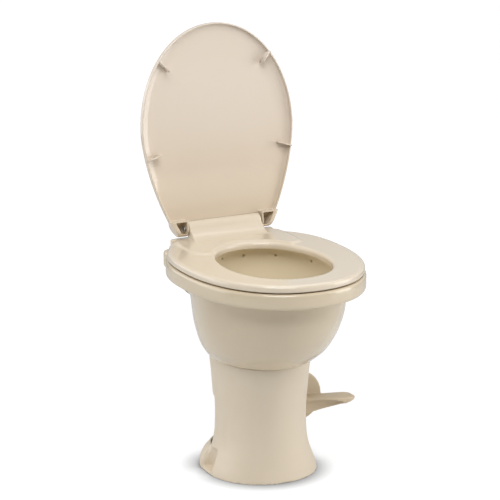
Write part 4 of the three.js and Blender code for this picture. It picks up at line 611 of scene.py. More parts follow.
def moulded(name, *tones):
    skin = skin_of(9.0, 700.0, 0.08, 0.16, 0.22)
    return finish(name, *tones, 3.0, 40.0, skin, 0.04, 0.5, Coat_Weight=0.5, Coat_Roughness=0.03)


def satin(name, *tones):
    return finish(name, *tones, 3.0, 40.0, skin_of(9.0, 700.0, 0.08, 0.36, 0.46), 0.04, 0.5)


def glazed(name, *tones):
    skin = skin_of(7.0, 260.0, 0.1, 0.1, 0.17)
    return finish(name, *tones, 4.0, 90.0, skin, 0.08, 0.6, Coat_Weight=0.5, Coat_Roughness=0.05)


def bone_plastic():
    return moulded("Bone plastic", colours().bone, colours().bone_deep)


def foot_plastic():
    return satin("Foot plastic", colours().bone, colours().bone_deep)


# Darker, warmer plastic for the pedal, as painted shade
def pedal_plastic_painted_shade():
    return satin("Pedal plastic, painted shade", colours().pedal, colours().pedal_painted_shade_deep)


def lid_plastic_painted_light():
    """The lid's plastic, paler than the bone plastic as a painted sheen, with painted shade and a painted
    warm reflection of the seat that grow towards the hinge.
    """
    material = moulded("Lid plastic, painted sheen and shade", colours().lid, colours().lid_painted_sheen_deep)
    tree = material.node_tree
    tone = next(node for node in tree.nodes if node.type == "GROUP" and "Color" in node.outputs)
    split = tree.nodes.new("ShaderNodeSeparateXYZ")
    tree.links.new(own_place(tree), split.inputs[0])
    # Painted shade and warm reflection of the seat: full at the barrel's bottom, gone part way up the lid
    painted_shade_z, painted_shade_end_z = HINGE_Z - BARREL_RADIUS, HINGE_Z + LID_TIP * LID_PAINTED_SHADE_SHARE
    share = mapped(tree, split.outputs["Z"], 0.0, 1.0, painted_shade_z * MM, painted_shade_end_z * MM)
    colour = blended(tree, share, opaque(colours().lid_painted_shade), tone.outputs["Color"])
    tree.links.new(colour, tree.nodes["Principled BSDF"].inputs["Base Color"])
    return material


def bone_glaze():
    return glazed("Bone glaze", colours().glaze, colours().glaze_deep)


def basin_painted_light_glaze():
    return glazed("Basin glaze, painted light", colours().basin, colours().basin_painted_light_deep)


def black_plastic():
    tones = colours().black, deeper(colours().black, 1.7)
    return finish("Black plastic", *tones, 12.0, 220.0, skin_of(30.0, 1500.0, 1.2, 0.42, 0.6), 0.25, 0.3)


def grey_plastic():
    tones = colours().grey, deeper(colours().grey, 0.88)
    return finish("Grey plastic", *tones, 9.0, 160.0, skin_of(20.0, 1200.0, 0.9, 0.42, 0.56), 0.2, 0.3)


def rubber():
    tones = colours().rubber, deeper(colours().rubber, 2.2)
    return finish("Rubber", *tones, 14.0, 180.0, skin_of(25.0, 900.0, 0.8, 0.58, 0.8), 0.2, 0.3)


def nylon():
    tones = colours().nylon, deeper(colours().nylon, 0.92)
    skin = skin_of(22.0, 1100.0, 0.5, 0.32, 0.46)
    depth = {"Subsurface_Weight": 0.08, "Subsurface_Scale": 4 * MM}
    return finish("Nylon", *tones, 10.0, 150.0, skin, 0.12, 0.3, **depth)


def steel():
    tones = colours().steel, deeper(colours().steel, 0.86)
    return finish("Steel", *tones, 20.0, 300.0, {}, 0.08, 0.1, lines=True, Metallic=1.0)


def brass():
    tones = colours().brass, deeper(colours().brass, 0.82)
    return finish("Brass", *tones, 18.0, 260.0, {}, 0.08, 0.1, lines=True, Metallic=1.0)


def body_of(node):
    bodies = frame["record"]["behaviour"]["bodies"]
    return next(body for body, nodes in bodies.items() if node in nodes)


def slot_of(node):
    return next(part["material_slot"] for part in frame["record"]["subparts"] if part["node"] == node)


def refined(node, material):
    """A CAD node's form with flat faces merged, edges rounded over and curved faces shaded smooth."""
    mesh = frame["nodes"][node].data.copy()
    form = bmesh.new()
    form.from_mesh(mesh)
    bmesh.ops.remove_doubles(form, verts=form.verts, dist=MERGE_REACH)
    bmesh.ops.dissolve_limit(form, angle_limit=FLAT_ANGLE, verts=form.verts, edges=form.edges)
    form.to_mesh(mesh)
    form.free()
    obj = link(bpy.data.objects.new(node + "_fine", mesh))
    bevel = obj.modifiers.new("edge", "BEVEL")
    bevel.width = EDGE_ROUND * MM
    bevel.segments = 2
    bevel.limit_method = "ANGLE"
    bevel.angle_limit = SHARP_ANGLE
    evaluated(obj)
    finish_piece(obj, node + "_fine", material, body_of(node), slot_of(node), node)
    obj.data.set_sharp_from_angle(angle=SHARP_ANGLE)
    return obj


def dress(nodes, material):
    """Shows CAD nodes with rounded edges and their finish."""
    for node in nodes:
        refined(node, material)


# Pedestal


def column_rows(count=40):
    rows = smooth_rows(COLUMN_SHARES, count)
    return [
        section(PEDESTAL_HEIGHT * z, FOOT_HALF_WIDTH * w, FOOT_HALF_DEPTH * d, power=FOOT_POWER)
        for z, w, d in rows
    ]


def heel_rows(count=24):
    powers = {"power": FOOT_POWER, "rear_power": FOOT_REAR_POWER}
    return [
        section(HEEL_HEIGHT * z, FOOT_HALF_WIDTH * share, FOOT_HALF_DEPTH * share, **powers)
        for z, share in smooth_rows(HEEL_SHARES, count)
    ]


def stretched(rows):
    return [at_height(rows[0], rows[0]["z"] - OVERRUN), *rows, at_height(rows[-1], rows[-1]["z"] + OVERRUN)]


def niche(side, growth):
    place = {"x": side * NICHE_X, "y": NICHE_Y}
    size = section(0, NICHE_HALF_WIDTH + growth, NICHE_HALF_DEPTH + growth, power=FOOT_REAR_POWER, **place)
    return loft([at_height(size, NICHE_FLOOR - growth), at_height(size, NICHE_TOP + growth)], 48)


def base_screw_places():
    return [(side * BASE_SCREW_X, end * BASE_SCREW_Y) for side in (-1, 1) for end in (-1, 1)]


def pedestal_outer(far):
    column = loft(column_rows())
    heels = kept_inside(loft(heel_rows()), block(-far, far, REAR_CUT_Y, far, -OVERRUN, HEEL_HEIGHT))
    return join(column, heels)


class TOILET_OT_pedestal(bpy.types.Operator):
    """Builds the waisted pedestal with its heels, niches and open rear"""

    bl_idname = "toilet.pedestal"
    bl_label = "Pedestal"

    def execute(self, context):
        far = FOOT_HALF_WIDTH + OVERRUN
        wall = PEDESTAL_WALL
        solid = pedestal_outer(far)
        hollow = loft(stretched([inset(row, wall) for row in column_rows()]))
        heel_hollow = loft([at_height(inset(row, wall), row["z"] - wall) for row in heel_rows()])
        solid = cut(solid, join(hollow, heel_hollow))
        base = column_rows()[0]
        ledge_low = PLATE_THICKNESS + GAP
        ledge_top = ledge_low + LEDGE_THICKNESS
        hole = inset(base, wall + LEDGE_WIDTH)
        ledge = cut(
            loft([at_height(base, ledge_low), at_height(base, ledge_top)]),
            loft([at_height(hole, -OVERRUN), at_height(hole, ledge_top + OVERRUN)]),
        )
        solid = join(solid, kept_inside(ledge, pedestal_outer(far)))
        opening = cut(block(-far, far, REAR_CUT_Y, far, HEEL_HEIGHT - wall, REAR_CUT_TOP), loft(heel_rows()))
        half = HEEL_GAP_HALF_WIDTH
        heel_gap = block(-half, half, REAR_CUT_Y, far, HEEL_SILL_HEIGHT + GAP, REAR_CUT_TOP)
        drive = block(DRIVE_CUT_X, far, REAR_CUT_Y, far, HEEL_HEIGHT, DRIVE_CUT_TOP)
        solid = cut(solid, opening, heel_gap, drive)
        for side in (-1, 1):
            solid = join(solid, kept_inside(niche(side, wall / 2), pedestal_outer(far)))
            solid = cut(solid, niche(side, 0))
        boss_top = ledge_low + LEDGE_THICKNESS * 2
        for place in base_screw_places():
            solid = join(solid, rod("z", ledge_low, boss_top, place, BASE_SCREW_HEAD * 2))
            solid = cut(solid, rod("z", -OVERRUN, boss_top + OVERRUN, place, BASE_SCREW_RADIUS + GAP))
        solid = soften(solid, sizes().pedestal_voxel, 5)
        finish_piece(solid, "pedestal_shell", foot_plastic(), "base", "bone_plastic", "pedestal")
        return {"FINISHED"}


# Bowl


def rim_size(z, drawn_in):
    size = section(z, RIM_HALF_WIDTH, RIM_FRONT, RIM_REAR, RIM_Y, RIM_POWER, RIM_REAR_POWER)
    return inset(size, drawn_in)


def band_bottom():
    return RIM_Z - RIM_BAND_HEIGHT


def skirt_z():
    return PEDESTAL_HEIGHT + GAP


def body_rows(count=36):
    low, high = skirt_z(), band_bottom()
    return [
        section(low + (high - low) * z, BODY_HALF_WIDTH * w, BODY_HALF_DEPTH * d, y=BODY_Y * o)
        for z, w, d, o in smooth_rows(BODY_SHARES, count)
    ]


def basin_rows(count=40, grow=0.0):
    outlet = (1, OUTLET_RADIUS / BASIN_HALF_WIDTH, OUTLET_RADIUS / BASIN_HALF_DEPTH, 0)
    rows = smooth_rows([*BASIN_SHARES, outlet], count)
    return [
        section(
            RIM_Z - (RIM_Z - BOWL_BOTTOM_Z) * z,
            BASIN_HALF_WIDTH * w + grow,
            BASIN_HALF_DEPTH * d + grow,
            y=BALL_Y + (BASIN_Y - BALL_Y) * way,
            power=FOOT_POWER,
        )
        for z, w, d, way in rows
    ]


def round_section(z, radius, y):
    return section(z, radius, radius, y=y)


def quarter(low, high, radius, steps=6, top=True):
    """Heights and draws of a rounded edge, from the wall to the face."""
    rows = []
    for i in range(steps + 1):
        turn = math.pi / 2 * i / steps
        height = radius * math.sin(turn)
        draw = radius * (1 - math.cos(turn))
        rows.append((high - radius + height if top else low + radius - height, draw))
    return rows if top else rows[::-1]


def bowl_outer():
    flange_top = BOWL_BOTTOM_Z + FLANGE_THICKNESS
    neck = [row for row in reversed(basin_rows(60, BOWL_WALL)) if flange_top <= row["z"] <= skirt_z()]
    band_low = band_bottom()
    rows = [
        round_section(BOWL_BOTTOM_Z, FLANGE_RADIUS, BALL_Y),
        round_section(flange_top, FLANGE_RADIUS, BALL_Y),
        *neck,
        *body_rows(),
    ]
    last = rows[-1]
    first_band = rim_size(band_low + RIM_ROUND * COVE_RISE_SHARE, RIM_ROUND * COVE_DRAW_SHARE)
    for share in COVE_SHARES:
        ways = {key: share if key == "z" else share ** 3 for key in last}
        rows.append({key: last[key] + (first_band[key] - last[key]) * way for key, way in ways.items()})
    rows.append(first_band)
    for z, draw in quarter(band_low, 0, RIM_ROUND, top=False):
        if draw < RIM_ROUND:
            rows.append(rim_size(z, draw))
    for z, draw in quarter(0, RIM_Z, RIM_ROUND):
        rows.append(rim_size(z, draw))
    return loft(rows)


def deck_size(z, grow):
    middle = (DECK_FRONT_Y + DECK_REAR_Y) / 2
    half = (DECK_REAR_Y - DECK_FRONT_Y) / 2
    return section(z, DECK_HALF_WIDTH + grow, half, half + grow, middle, DECK_POWER)


def bowl_deck():
    half = (DECK_REAR_Y - DECK_FRONT_Y) / 2
    low = band_bottom()
    root_size = {"w": BODY_HALF_WIDTH / 2, "f": half / 2, "r": half / 3}
    root = {**deck_size(low - (low - skirt_z()) / 2, 0), **root_size}
    rows = [root, deck_size(low - RIM_ROUND, -RIM_ROUND), deck_size(low, 0)]
    rows += [deck_size(z, -draw) for z, draw in quarter(0, RIM_Z, RIM_ROUND)]
    return loft(rows)


def skirt_room():
    room_top = skirt_z() + SKIRT_ROOM_SHARE * (band_bottom() - skirt_z())
    skirt = [row for row in body_rows() if row["z"] < room_top]
    outer = [inset(row, BOWL_WALL) for row in skirt]
    space = loft([at_height(outer[0], skirt_z() - OVERRUN), *outer])
    top = outer[-1]["z"] + BOWL_WALL * 2
    inner = [row for row in reversed(basin_rows(60, BOWL_WALL)) if skirt_z() - OVERRUN * 2 < row["z"] < top]
    return cut(space, loft(inner))


def channel_middle():
    return RIM_Z - RIM_BAND_HEIGHT / 2


def flush_hole(turn):
    width_share, depth_share = BASIN_SHARES[1][1:3]
    width, depth = BASIN_HALF_WIDTH * width_share, BASIN_HALF_DEPTH * depth_share
    wide = section(0, width, depth, y=BASIN_Y, power=FOOT_POWER)
    start = Vector((*outline_point(inset(wide, CHANNEL_WALL), turn), channel_middle()))
    end = Vector((*outline_point(inset(wide, -CHANNEL_WALL), turn), channel_middle()))
    length = (end - start).length
    hole = rod("z", 0, length, (0, 0), FLUSH_HOLE_RADIUS, facets=24)
    way = (end - start).to_track_quat("Z", "Y").to_matrix().to_4x4()
    hole.data.transform(Matrix.Translation(start * MM) @ way)
    return hole


def paint_light_into_basin(obj):
    """Gives the faces that look into the basin a brighter glaze: painted light, for the light that falls into
    the basin.
    """
    obj.data.materials.append(basin_painted_light_glaze())
    middle = Vector((0, BASIN_Y, 0)) * MM
    for polygon in obj.data.polygons:
        out = (polygon.center - middle) / MM
        width = out.x / (BASIN_HALF_WIDTH + CHANNEL_WALL)
        depth = out.y / (BASIN_HALF_DEPTH + CHANNEL_WALL)
        inward = polygon.normal.x * out.x + polygon.normal.y * out.y < 0 or polygon.normal.z > LEVEL_SHARE
        if inward and width ** 2 + depth ** 2 < 1:
            polygon.material_index = 1


class TOILET_OT_bowl(bpy.types.Operator):
    """Builds the glazed bowl with its rim band, basin, flush holes and rear deck"""

    bl_idname = "toilet.bowl"
    bl_label = "Bowl"

    def execute(self, context):
        solid = join(bowl_outer(), bowl_deck())
        basin = list(reversed(basin_rows()))
        mouth = at_height(basin[-1], RIM_Z + OVERRUN)
        outlet = round_section(BOWL_BOTTOM_Z - OVERRUN, OUTLET_RADIUS, BALL_Y)
        solid = cut(solid, loft([outlet, *basin, mouth]), skirt_room())
        nut_seat = RIM_Z - RIM_BAND_HEIGHT / 2
        reach = HINGE_NUT_RADIUS + GAP * 4
        for side in (-1, 1):
            x = side * HINGE_BOLT_X
            low = band_bottom() - RIM_BAND_HEIGHT
            hole = rod("z", low, RIM_Z + OVERRUN, (x, HINGE_BOLT_Y), HINGE_BOLT_RADIUS + GAP * 2)
            front, behind = HINGE_BOLT_Y - reach, DECK_REAR_Y + OVERRUN * 2
            pocket = block(x - reach, x + reach, front, behind, low - RIM_BAND_HEIGHT, nut_seat)
            solid = cut(solid, hole, pocket)
        solid = soften(solid, sizes().bowl_voxel, 6)
        holes = [flush_hole(2 * math.pi * share) for share in FLUSH_HOLE_SHARES]
        front = BASIN_Y + BASIN_HALF_DEPTH + CHANNEL_WALL
        inlet = rod("y", front, DECK_REAR_Y + OVERRUN, (0, channel_middle()), RIM_INLET_RADIUS)
        solid = cut(solid, inlet, *holes)
        finish_piece(solid, "bowl_glazed", bone_glaze(), "base", "bone_ceramic", "bowl")
        # Painted light: brighter tones on the faces inside the basin
        paint_light_into_basin(solid)
        return {"FINISHED"}


# Seat


def opening_size(z, grow):
    return section(
        z, OPENING_HALF_WIDTH + grow, OPENING_FRONT + grow, OPENING_REAR + grow, OPENING_Y, OPENING_POWER
    )


def seat_deck_size(z, half_width, rear_y):
    middle = (SEAT_DECK_FRONT_Y + SEAT_DECK_REAR_Y) / 2
    half = (SEAT_DECK_REAR_Y - SEAT_DECK_FRONT_Y) / 2
    return section(z, half_width, half, rear_y - middle, middle, DECK_POWER)


def along_x(outline, x0, x1):
    return through_rings("along", [[(x, y, z) for y, z in outline] for x in (x0, x1)])


def hinge_block():
    """Ramp off the seat deck that ends in the hinge barrel."""
    profile = []
    steps = 24
    rise = (HINGE_Z - SEAT_DECK_TOP_Z) * (1 + RAMP_SHARE / 8)
    run = HINGE_Y - math.sqrt(BARREL_RADIUS ** 2 - (SEAT_DECK_TOP_Z + rise - HINGE_Z) ** 2) - RAMP_FRONT_Y
    for i in range(steps):
        share = i / steps
        profile.append((RAMP_FRONT_Y + run * share, SEAT_DECK_TOP_Z + rise * share ** 2))
    first = math.pi - math.asin((SEAT_DECK_TOP_Z + rise - HINGE_Z) / BARREL_RADIUS)
    last = -math.pi / 2 - math.asin((HINGE_Y - SEAT_DECK_REAR_Y) / BARREL_RADIUS)
    for i in range(steps * 2 + 1):
        turn = first - (first - last) * i / (steps * 2)
        profile.append((HINGE_Y + BARREL_RADIUS * math.cos(turn), HINGE_Z + BARREL_RADIUS * math.sin(turn)))
    profile += [
        (SEAT_DECK_REAR_Y, SEAT_DECK_TOP_Z - SEAT_EDGE),
        (RAMP_FRONT_Y, SEAT_DECK_TOP_Z - SEAT_EDGE),
    ]
    return along_x(profile, -BARREL_HALF_LENGTH, BARREL_HALF_LENGTH)


class TOILET_OT_seat(bpy.types.Operator):
    """Builds the seat with its raised deck and hinge barrel, and its bumpers"""

    bl_idname = "toilet.seat"
    bl_label = "Seat"

    def execute(self, context):
        edge = SEAT_EDGE
        rows = [rim_size(z, SEAT_INSET + draw) for z, draw in quarter(SEAT_BOTTOM_Z, 0, edge / 2, 4, False)]
        for drop, draw in SEAT_EDGE_SHARES:
            rows.append(rim_size(SEAT_TOP_Z - edge * drop, SEAT_INSET + edge * draw))
        deck = loft([
            seat_deck_size(SEAT_BOTTOM_Z, SEAT_DECK_HALF_WIDTH - edge / 2, SEAT_DECK_REAR_Y - edge / 2),
            seat_deck_size(SEAT_BOTTOM_Z + edge / 2, SEAT_DECK_HALF_WIDTH, SEAT_DECK_REAR_Y),
            seat_deck_size(SEAT_TOP_Z - edge, SEAT_DECK_HALF_WIDTH, SEAT_DECK_REAR_Y),
            seat_deck_size(SEAT_DECK_TOP_Z - GAP, SEAT_DECK_TOP_HALF_WIDTH + edge / 2, SEAT_DECK_REAR_Y),
            seat_deck_size(SEAT_DECK_TOP_Z, SEAT_DECK_TOP_HALF_WIDTH, SEAT_DECK_REAR_Y - edge / 4),
        ])
        half = RIM_HALF_WIDTH
        behind = block(-half, half, SEAT_DECK_REAR_Y, DECK_REAR_Y * 2, 0, SEAT_DECK_TOP_Z * 2)
        solid = join(cut(join(loft(rows), deck), behind), hinge_block())
        flare = OPENING_FLARE
        mouth = [opening_size(SEAT_TOP_Z - flare * drop, flare * grow) for drop, grow in OPENING_SHARES]
        bottom = opening_size(SEAT_BOTTOM_Z - OVERRUN, 0)
        top = opening_size(SEAT_DECK_TOP_Z + OVERRUN, flare * OPENING_TOP_SHARE)
        solid = cut(solid, loft([bottom, *mouth, top]))
        for side in (-1, 1):
            half = POST_WIDTH / 2 + GAP * 3
            x0, x1 = side * POST_X - half, side * POST_X + half
            front = HINGE_Y - POST_STEM_HALF_DEPTH - GAP * 3
            low = block(x0, x1, front, HINGE_Y + BARREL_RADIUS + OVERRUN, SEAT_BOTTOM_Z - OVERRUN, HINGE_Z)
            rear_top = HINGE_Z + POST_STEM_HALF_DEPTH + SLOT_HEAD_ROOM
            rear = block(x0, x1, HINGE_Y, HINGE_Y + BARREL_RADIUS + OVERRUN, SEAT_BOTTOM_Z, rear_top)
            solid = cut(solid, low, rear, rod("x", x0, x1, (HINGE_Y, HINGE_Z), POST_EYE_RADIUS + GAP * 3))
        solid = soften(solid, sizes().seat_voxel, 4)
        finish_piece(solid, "seat_ring", bone_plastic(), "seat", "bone_plastic", "seat")
        dress([f"seat_bumper_{i}" for i in range(1, 5)], rubber())
        return {"FINISHED"}


# Lid


def lid_point(turn, drawn_in):
    c, s = math.cos(turn), math.sin(turn)
    power = LID_POWER if s > 0 else LID_HEEL_POWER
    length = (LID_TIP - LID_WIDEST if s > 0 else LID_HEEL) - drawn_in
    along = LID_WIDEST + length * signed_power(s, power)
    return (LID_HALF_WIDTH - drawn_in) * signed_power(c, power), -along


def eased(value, low, high):
    t = min(max((value - low) / (high - low), 0.0), 1.0)
    return t * t * (3 - 2 * t)


def lid_layer(z, drawn_in, crown=0.0):
    """Outline of the lid; the crown fades out towards the hinge."""
    ring = []
    for i in range(sizes().sides):
        x, y = lid_point(2 * math.pi * (i + 0.5) / sizes().sides, drawn_in)
        ring.append((x, y, z + crown * eased(-y, CROWN_START, CROWN_FULL)))
    return ring


def lid_body(low, shoulder, top, draw, crown_draw):
    layers = [lid_layer(low, draw), lid_layer(shoulder, draw)]
    for inward, height in smooth_rows([(b, a) for a, b in CROWN_SHARES], 24):
        layers.append(lid_layer(top, LID_HALF_WIDTH * inward + crown_draw, LID_CROWN * height))
    return through_rings("lid", layers, ribbon=True)


def lid_outer():
    top = LID_PANEL_Z + LID_WALL
    return lid_body(LID_RIM_Z, top - LID_WALL / 2, top, 0, LID_WALL / 2)


def lid_inner():
    return lid_body(LID_RIM_Z - OVERRUN, LID_PANEL_Z - LID_WALL, LID_PANEL_Z, LID_WALL, LID_WALL * 1.5)


def lid_limit(drawn_in, top):
    return through_rings("limit", [lid_layer(z, drawn_in) for z in (-BARREL_RADIUS * 2, top)])


def lid_rib(degrees, side):
    x, y = lid_point(math.radians(degrees), LID_WALL / 2)
    top = LID_PANEL_Z + LID_WALL
    rib = block(0, LID_RIB_LENGTH, -LID_RIB_THICKNESS / 2, LID_RIB_THICKNESS / 2, LID_RIB_Z, top)
    turn = math.atan2(-LID_WIDEST - y, -x * side)
    rib.data.transform(Matrix.Translation(Vector((x * side, y, 0)) * MM) @ Matrix.Rotation(turn, 4, "Z"))
    return rib


def ear(side, wall):
    outer = LID_HALF_WIDTH + (OVERRUN if wall else 0)
    x0, x1 = sorted((side * (EAR_INNER_X + wall), side * outer))
    radius = BARREL_RADIUS - wall
    top = LID_PANEL_Z if wall else LID_PANEL_Z + LID_WALL
    low = -BARREL_RADIUS - (OVERRUN if wall else 0)
    solid = join(rod("x", x0, x1, (0, 0), radius), block(x0, x1, -EAR_REACH + wall, 0, low, top))
    if wall:
        solid = join(solid, block(x0, x1, -EAR_REACH + wall, BARREL_RADIUS - wall * 2, low, -wall))
    return solid


class TOILET_OT_lid(bpy.types.Operator):
    """Builds the raised lid with its turned-down rim, ribs and hollow hinge ears"""

    bl_idname = "toilet.lid"
    bl_label = "Lid"

    def execute(self, context):
        far = LID_TIP * 2
        solid = cut(kept_inside(lid_outer(), block(-far, far, -far, 0, -far, far)), lid_inner())
        for side in (-1, 1):
            solid = join(solid, kept_inside(ear(side, 0), lid_limit(0, BARREL_RADIUS * 2)))
            solid = cut(solid, kept_inside(ear(side, EAR_WALL), lid_limit(EAR_OUTER_WALL, BARREL_RADIUS * 2)))
        edge_reach = math.sqrt(BARREL_ROOM ** 2 - (LID_PANEL_Z + LID_WALL) ** 2)
        solid = cut(solid, block(-EAR_INNER_X, EAR_INNER_X, -edge_reach + LID_WALL, far, -far, far))
        solid = soften(solid, sizes().lid_voxel, 3, sizes().lid_faces)
        solid = cut(
            solid,
            block(-EAR_INNER_X, EAR_INNER_X, -edge_reach, far, -far, far),
            rod("x", -EAR_INNER_X, EAR_INNER_X, (0, 0), BARREL_ROOM, facets=96),
        )
        for side in (-1, 1):
            for degrees in LID_RIB_TURNS:
                rib = kept_inside(lid_rib(degrees, side), lid_limit(0, LID_PANEL_Z + LID_WALL / 2))
                solid = join(solid, rib)
        reach = EAR_INNER_X + EAR_WALL * 2
        solid = cut(solid, rod("x", -reach, reach, (0, 0), PIN_RADIUS + GAP, facets=32))
        hinge = Matrix.Translation(Vector((0, HINGE_Y, HINGE_Z)) * MM)
        solid.data.transform(hinge @ Matrix.Rotation(-LID_OPEN, 4, "X"))
        finish_piece(solid, "lid_moulding", lid_plastic_painted_light(), "lid", "bone_plastic", "lid")
        return {"FINISHED"}


# Pedal


def paddle_ring(row, sides=64):
    reach, front_share, rear_share, drop, height_share = row
    depth = PADDLE_REAR_Y - PADDLE_FRONT_Y
    front = PADDLE_FRONT_Y + depth * front_share
    rear = PADDLE_FRONT_Y + depth * rear_share
    top = PEDAL_Z + PADDLE_TOP - PADDLE_TIP_HEIGHT * drop
    height = PADDLE_ROOT_HEIGHT * height_share
    x = PEDAL_X + PADDLE_ROOT_X + PADDLE_LENGTH * reach
    ring = []
    for i in range(sides):
        turn = 2 * math.pi * (i + 0.5) / sides
        y = (front + rear) / 2 + (rear - front) / 2 * signed_power(math.cos(turn), PADDLE_POWER)
        z = top - height / 2 + height / 2 * signed_power(math.sin(turn), PADDLE_POWER)
        ring.append((x, y, z))
    return ring


def scoop(scale, facets=48):
    rings = []
    rows = facets // 2
    for i in range(1, rows):
        polar = math.pi * i / rows
        ring = []
        for j in range(facets):
            turn = 2 * math.pi * j / facets
            ring.append((
                scale[0] * math.sin(polar) * math.cos(turn),
                scale[1] * math.sin(polar) * math.sin(turn),
                -scale[2] * math.cos(polar),
            ))
        rings.append(ring)
    return through_rings("scoop", rings)


def pedal_disc():
    """Disc on the pedal's shaft, its front edge rounded."""
    edge = PEDAL_DISC_THICKNESS / 4
    rows = []
    for lean in (math.pi / 2, math.pi / 3, math.pi / 6, 0):
        y = PEDAL_DISC_FRONT_Y + edge - edge * math.sin(lean)
        rows.append((y, PEDAL_DISC_RADIUS - edge + edge * math.cos(lean)))
    rows.append((PEDAL_DISC_FRONT_Y + PEDAL_DISC_THICKNESS, PEDAL_DISC_RADIUS))
    turns = [2 * math.pi * i / DISC_FACETS for i in range(DISC_FACETS)]
    rings = [
        [(PEDAL_X + radius * math.cos(turn), y, PEDAL_Z + radius * math.sin(turn)) for turn in turns]
        for y, radius in rows
    ]
    return through_rings("disc", rings)


class TOILET_OT_pedal(bpy.types.Operator):
    """Builds the foot pedal: a disc on the shaft and a scooped paddle"""

    bl_idname = "toilet.pedal"
    bl_label = "Pedal"

    def execute(self, context):
        disc = pedal_disc()
        paddle = through_rings("paddle", [paddle_ring(row) for row in smooth_rows(PADDLE_SHARES, 40)])
        room = (PADDLE_LENGTH, PADDLE_REAR_Y - PADDLE_FRONT_Y, PADDLE_ROOT_HEIGHT)
        hollow = scoop([length * share for length, share in zip(room, SCOOP_SIZE_SHARES)])
        x = PEDAL_X + PADDLE_ROOT_X + PADDLE_LENGTH * SCOOP_PLACE_SHARE
        z = PEDAL_Z + PADDLE_TOP - PADDLE_ROOT_HEIGHT * SCOOP_DROP_SHARE
        hollow.data.transform(Matrix.Translation(Vector((x, PADDLE_FRONT_Y, z)) * MM))
        front, rear = PEDAL_DISC_FRONT_Y - OVERRUN, PEDAL_DISC_FRONT_Y + PEDAL_DISC_THICKNESS + OVERRUN
        bore = rod("y", front, rear, (PEDAL_X, PEDAL_Z), PEDAL_SHAFT_RADIUS + GAP)
        solid = cut(join(disc, paddle), hollow, bore)
        solid = soften(solid, sizes().pedal_voxel, 4, sizes().pedal_faces)
        finish_piece(solid, "pedal_paddle", pedal_plastic_painted_shade(), "pedal", "bone_plastic", "pedal")
        return {"FINISHED"}


# Pieces shown as they are


SHOWN = {
    "grey": (grey_plastic, ["base_plate", "clamp_half_front", "clamp_half_rear"]),
    "black": (black_plastic, [
        "valve_body", "pedal_bracket", "water_valve_body", "water_valve_cap", "vacuum_breaker", "ball_pinion",
        "drive_sector",
    ]),
    "nylon": (nylon, [
        "flush_ball", "ball_bush_front", "ball_bush_rear", "pedal_bush_front", "pedal_bush_rear",
        "water_valve_rotor", "rim_inlet", "hinge_bolt_left", "hinge_bolt_right", "hinge_nut_left",
        "hinge_nut_right",
    ]),
    "rubber": (rubber, ["floor_seal", "ball_seal", "bowl_gasket"]),
    "steel": (steel, [
        "base_screw_1", "base_screw_2", "base_screw_3", "base_screw_4", "clamp_screw_left",
        "clamp_screw_right", "ball_pivot", "ball_shaft", "pedal_shaft", "bracket_screw_lower",
        "bracket_screw_upper", "return_spring", "water_valve_screw_lower", "water_valve_screw_upper",
        "hinge_pin_left", "hinge_pin_right",
    ]),
    "brass": (brass, ["inlet_fitting"]),
    "bone": (bone_plastic, ["hinge_base"]),
}


def path_point(points, place):
    """A point on the smooth path through the points; place counts from one point to the next."""
    i = min(int(place), len(points) - 2)
    share = place - i
    before, start, end, after = (points[min(max(i + k, 0), len(points) - 1)] for k in (-1, 0, 1, 2))
    lean_start, lean_end = (end - before) / 2, (after - start) / 2
    a, b = 2 * share ** 3 - 3 * share ** 2 + 1, share ** 3 - 2 * share ** 2 + share
    return start * a + lean_start * b + end * (1 - a) + lean_end * (share ** 3 - share ** 2)


def hose(name, start, start_way, middle, end, end_way):
    """Round hose that leaves both of its stubs straight and bends between them."""
    start, end, start_way, end_way = Vector(start), Vector(end), Vector(start_way), Vector(end_way)
    first = [start + start_way * HOSE_STRAIGHT * k for k in range(3)]
    last = [end + end_way * HOSE_STRAIGHT * k for k in (2, 1, 0)]
    points = [*first, *[Vector(m) for m in middle], *last]
    steps = (len(points) - 1) * HOSE_STEPS
    path = [path_point(points, i * (len(points) - 1) / steps) for i in range(steps + 1)]
    across = start_way.orthogonal().normalized()
    rings = []
    for i, point in enumerate(path):
        along = (path[min(i + 1, steps)] - path[max(i - 1, 0)]).normalized()
        across = (across - along * across.dot(along)).normalized()
        side = along.cross(across)
        turns = [2 * math.pi * k / HOSE_FACETS for k in range(HOSE_FACETS)]
        spokes = [across * math.cos(turn) + side * math.sin(turn) for turn in turns]
        rings.append([tuple(point + spoke * HOSE_RADIUS) for spoke in spokes])
    return finish_piece(through_rings(name, rings), name + "_round", rubber(), "base", "black_rubber", name)


class TOILET_OT_works(bpy.types.Operator):
    """Builds the hoses and dresses the valve, drive, water side and fixings"""

    bl_idname = "toilet.works"
    bl_label = "Valve, drive and fixings"

    def execute(self, context):
        for maker, nodes in SHOWN.values():
            dress(nodes, maker())
        low = (PEDAL_X, WATER_PORT_Y, PEDAL_Z + WATER_VALVE_RADIUS + GAP)
        high = (BREAKER_X, BREAKER_Y, BREAKER_BOTTOM_Z - GAP * 3)
        middle = (PEDAL_X / 2, (WATER_PORT_Y + BREAKER_Y) / 2, (low[2] + high[2]) / 2)
        hose("supply_hose", low, (0, 0, 1), [middle], high, (0, 0, -1))
        side = (BREAKER_X + BREAKER_BODY_RADIUS + GAP, BREAKER_Y, BREAKER_SIDE_Z)
        inlet = (0, DECK_REAR_Y + INLET_WALL + GAP, channel_middle())
        hose("rim_hose", side, (1, 0, 0), [], inlet, (0, 1, 0))
        return {"FINISHED"}


# Stage


FLOOR_TONE, FLOOR_SEEN_TONE = 0.8, 0.1
# Glow seen by the camera: dimmer near the object as painted shade, full far from it
FLOOR_GLOW = (0.93, 1.0)
FLOOR_FADE = (0.45, 1.8)
